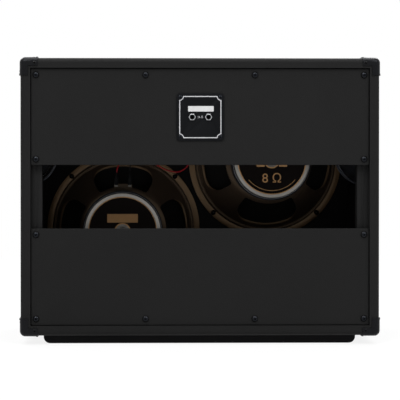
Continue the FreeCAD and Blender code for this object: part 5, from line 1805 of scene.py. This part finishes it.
@dataclass
class Lead(Assembly):
    """One lead from a jack's tag to a driver's tab; heights are from the middle of the box."""

    name: str
    finish: Finish
    slot: str
    length: float
    route: tuple[Point, ...]
    diameter: float = 2.6
    spans: int = 10
    sleeve_sides: int = 24
    sleeve_rows: tuple[tuple[float, float, float, float], ...] = (
        (-10.6, 3.5, 1.2, 5), (-10.0, 3.8, 1.5, 5), (0.5, 3.8, 1.6, 5), (3.2, 3.2, 2.0, 3.2),
        (5.5, 2.5, 2.4, 2.2), (12.0, 2.3, 2.3, 2), (16.0, 2.1, 2.1, 2), (16.6, 1.7, 1.7, 2))

    def curve(self) -> Piece:
        """The lead as one smooth spline."""
        data = bpy.data.curves.new(f"{self.name}_wire", "CURVE")
        data.dimensions = "3D"
        data.bevel_depth = self.diameter / 2 * MM
        data.bevel_resolution = 4
        data.resolution_u = self.spans
        data.use_fill_caps = True
        spline = data.splines.new("NURBS")
        spline.points.add(len(self.route) - 1)
        for point, (x, y, z) in zip(spline.points, self.route):
            point.co = (x * MM, y * MM, (UP + z) * MM, 1.0)
        spline.order_u = 3
        spline.use_endpoint_u = True
        data.materials.append(self.finish.material())
        return linked(f"{self.name}_wire", data)

    def sleeve(self) -> Piece:
        """The sleeve of the push-on terminal: flat over the tab, round on the wire."""
        x, y, z = self.route[-1]
        ring = circle(1.0, self.sleeve_sides)
        rows = []
        for up, wide, deep, power in self.sleeve_rows:
            rows.append([(x + wide * math.copysign(abs(c) ** (2 / power), c),
                          y + deep * math.copysign(abs(s) ** (2 / power), s), UP + z + up)
                         for c, s in ring])
        return Draft().loft(rows).piece(f"{self.name}_sleeve", SLEEVE)

    def build(self) -> None:
        wire = self.curve()
        self.hand_in(wire, self.slot, (f"{self.name}_lead",))
        sleeve = self.hand_in(self.sleeve(), "black_wire")


LEADS = (
    Lead("lower_red", RED_WIRE, "red_wire", 330, (
        (15, 105, 150.35), (15, 84, 149), (13, 62, 138), (11.5, 45, 116), (11, 33, 88),
        (14, 25, 62), (30, 21, 45.5), (54, 18, 46.5), (78, 13, 59), (100, 6, 75), (124, -4, 83),
        (144, -14, 76), (154, -22, 58), (157.6, -25, 43), (157.6, -25, 30.6))),
    Lead("lower_black", BLACK_WIRE, "black_wire", 246, (
        (15, 105, 142.35), (16, 86, 140), (20, 68, 130), (28, 52, 113), (40, 40, 95), (58, 30, 83),
        (80, 19, 81), (101, 6, 87), (118, -8, 87), (128, -19, 73), (131, -25, 52),
        (131, -25, 30.6))),
    Lead("upper_red", RED_WIRE, "red_wire", 206, (
        (-15, 105, 150.35), (-16, 85, 149), (-22, 66, 145), (-35, 49, 143), (-52, 36, 148),
        (-71, 23, 157), (-90, 10, 170), (-108, -4, 182), (-122, -17, 189), (-131, -25, 180),
        (-131, -25, 167.4))),
    Lead("upper_black", BLACK_WIRE, "black_wire", 227, (
        (-15, 105, 142.35), (-16, 87, 140.5), (-24, 70, 136.5), (-40, 56, 134), (-60, 46, 135),
        (-81, 37, 141), (-101, 26, 151), (-119, 13, 163), (-134, -1, 176), (-147.5, -14.5, 187.5),
        (-157.6, -25, 180), (-157.6, -25, 167.4))),
)


# Studio


@dataclass
class Lamp:
    """A soft box: where it stands, how large it is and how strong."""

    name: str
    place: Point
    size: float
    watts: float


@dataclass
class Studio:
    """Floor, white surroundings, soft boxes and camera."""

    white: tuple[float, float, float, float] = (1, 1, 1, 1)
    pale: tuple[float, float, float, float] = (0.88, 0.88, 0.88, 1)
    ambient: float = 0.25
    floor_glow: float = 0.86
    floor_fade: Flat = (0.55, 2.2)
    floor_size: float = 60.0
    sensor: float = 36.0
    lens: float = 106.71
    eye: Point = (0.1108, 2.3166, 0.3166)
    yaw: float = -0.777
    pitch: float = -0.372
    shift: Flat = (0.11, -0.05)
    lamps: tuple[Lamp, ...] = (
        Lamp("rear_key", (1.3, 2.0, 2.9), 1.5, 62),
        Lamp("rear_fill", (-1.6, 1.9, 2.4), 1.5, 40),
        Lamp("overhead", (0.0, 0.2, 2.9), 1.8, 44),
        Lamp("front_key", (-1.3, -2.0, 2.9), 1.5, 62),
        Lamp("front_fill", (1.6, -1.9, 2.4), 1.5, 40),
    )

    def seen(self, desk: Desk) -> Socket:
        """One for what the eye, mirrors and glass see, and none for the light on the object."""
        path = desk.add("ShaderNodeLightPath").outputs
        either = desk.math("MAXIMUM", path["Is Camera Ray"], path["Is Glossy Ray"])
        return desk.math("MAXIMUM", either, path["Is Transmission Ray"])

    def surroundings(self) -> None:
        """A dim even light that is seen as white."""
        world = bpy.data.worlds.new("studio")
        world.use_nodes = True
        bpy.context.scene.world = world
        desk = Desk(world.node_tree)
        desk.tree.nodes.clear()
        dim, bright = (
            desk.out("ShaderNodeBackground", {"Color": self.white, "Strength": strength})
            for strength in (self.ambient, 1.0))
        mix = desk.out("ShaderNodeMixShader", {0: self.seen(desk), 1: dim, 2: bright})
        desk.add("ShaderNodeOutputWorld", {0: mix})

    def floor(self) -> None:
        """A pale floor that keeps the shadow."""
        half = self.floor_size / 2
        corners = [(-half, -half, 0), (half, -half, 0), (half, half, 0), (-half, half, 0)]
        mesh = bpy.data.meshes.new("floor")
        mesh.from_pydata(corners, [], [(0, 1, 2, 3)])
        material = bpy.data.materials.new("pale_floor")
        material.use_nodes = True
        desk = Desk(material.node_tree)
        desk.tree.nodes.clear()
        matt = desk.out("ShaderNodeBsdfDiffuse", {"Color": self.pale})
        white = desk.out("ShaderNodeEmission", {"Color": self.white, "Strength": 1.0})
        here = desk.add("ShaderNodeTexCoord").outputs["Object"]
        away = desk.add("ShaderNodeVectorMath", {0: here}, operation="LENGTH").outputs["Value"]
        glow = desk.spread(away, self.floor_glow, 1.0, *self.floor_fade)
        share = desk.math("MULTIPLY", self.seen(desk), glow)
        mix = desk.out("ShaderNodeMixShader", {0: share, 1: matt, 2: white})
        desk.add("ShaderNodeOutputMaterial", {0: mix})
        mesh.materials.append(material)
        linked("floor", mesh)

    def aim(self, item: Piece, place: Point, way: Vector) -> None:
        """Stand a lamp or camera at a place and turn it to look along a way."""
        item.location = place
        item.rotation_euler = way.to_track_quat("-Z", "Y").to_euler()

    def light(self) -> None:
        """Set up the soft boxes, each turned to the middle of the cabinet."""
        middle = Vector((0, 0, UP * MM))
        for lamp in self.lamps:
            data = bpy.data.lights.new(lamp.name, "AREA")
            data.shape = "SQUARE"
            data.size = lamp.size
            data.energy = lamp.watts
            self.aim(linked(lamp.name, data), lamp.place, middle - Vector(lamp.place))

    def camera(self) -> None:
        """Stand the camera where the photograph was taken."""
        data = bpy.data.cameras.new("camera")
        data.sensor_width = self.sensor
        data.lens = self.lens
        data.shift_x, data.shift_y = self.shift
        yaw, pitch = math.radians(self.yaw), math.radians(self.pitch)
        ahead = math.cos(pitch)
        way = Vector((math.sin(yaw) * ahead, -math.cos(yaw) * ahead, math.sin(pitch)))
        camera = linked("camera", data)
        self.aim(camera, self.eye, way)
        bpy.context.scene.camera = camera

    def build(self) -> None:
        """Set the scene."""
        bpy.context.scene.view_settings.view_transform = "Standard"
        self.surroundings()
        self.floor()
        self.light()
        self.camera()


def main() -> None:
    """Build the cabinet's looks piece by piece."""
    logging.basicConfig(level=logging.INFO, format="%(message)s")
    Studio().build()
    for lead in LEADS:
        lead.build()
    CoveredBox().build()
    Grille().build()
    JackPlate().build()
    for driver in DRIVERS:
        driver.build()
    Fasteners().build()
    Assembly().dress(PLATED, "speaker_tee_nuts")
    bpy.context.view_layer.update()


if __name__ == "__main__":
    main()
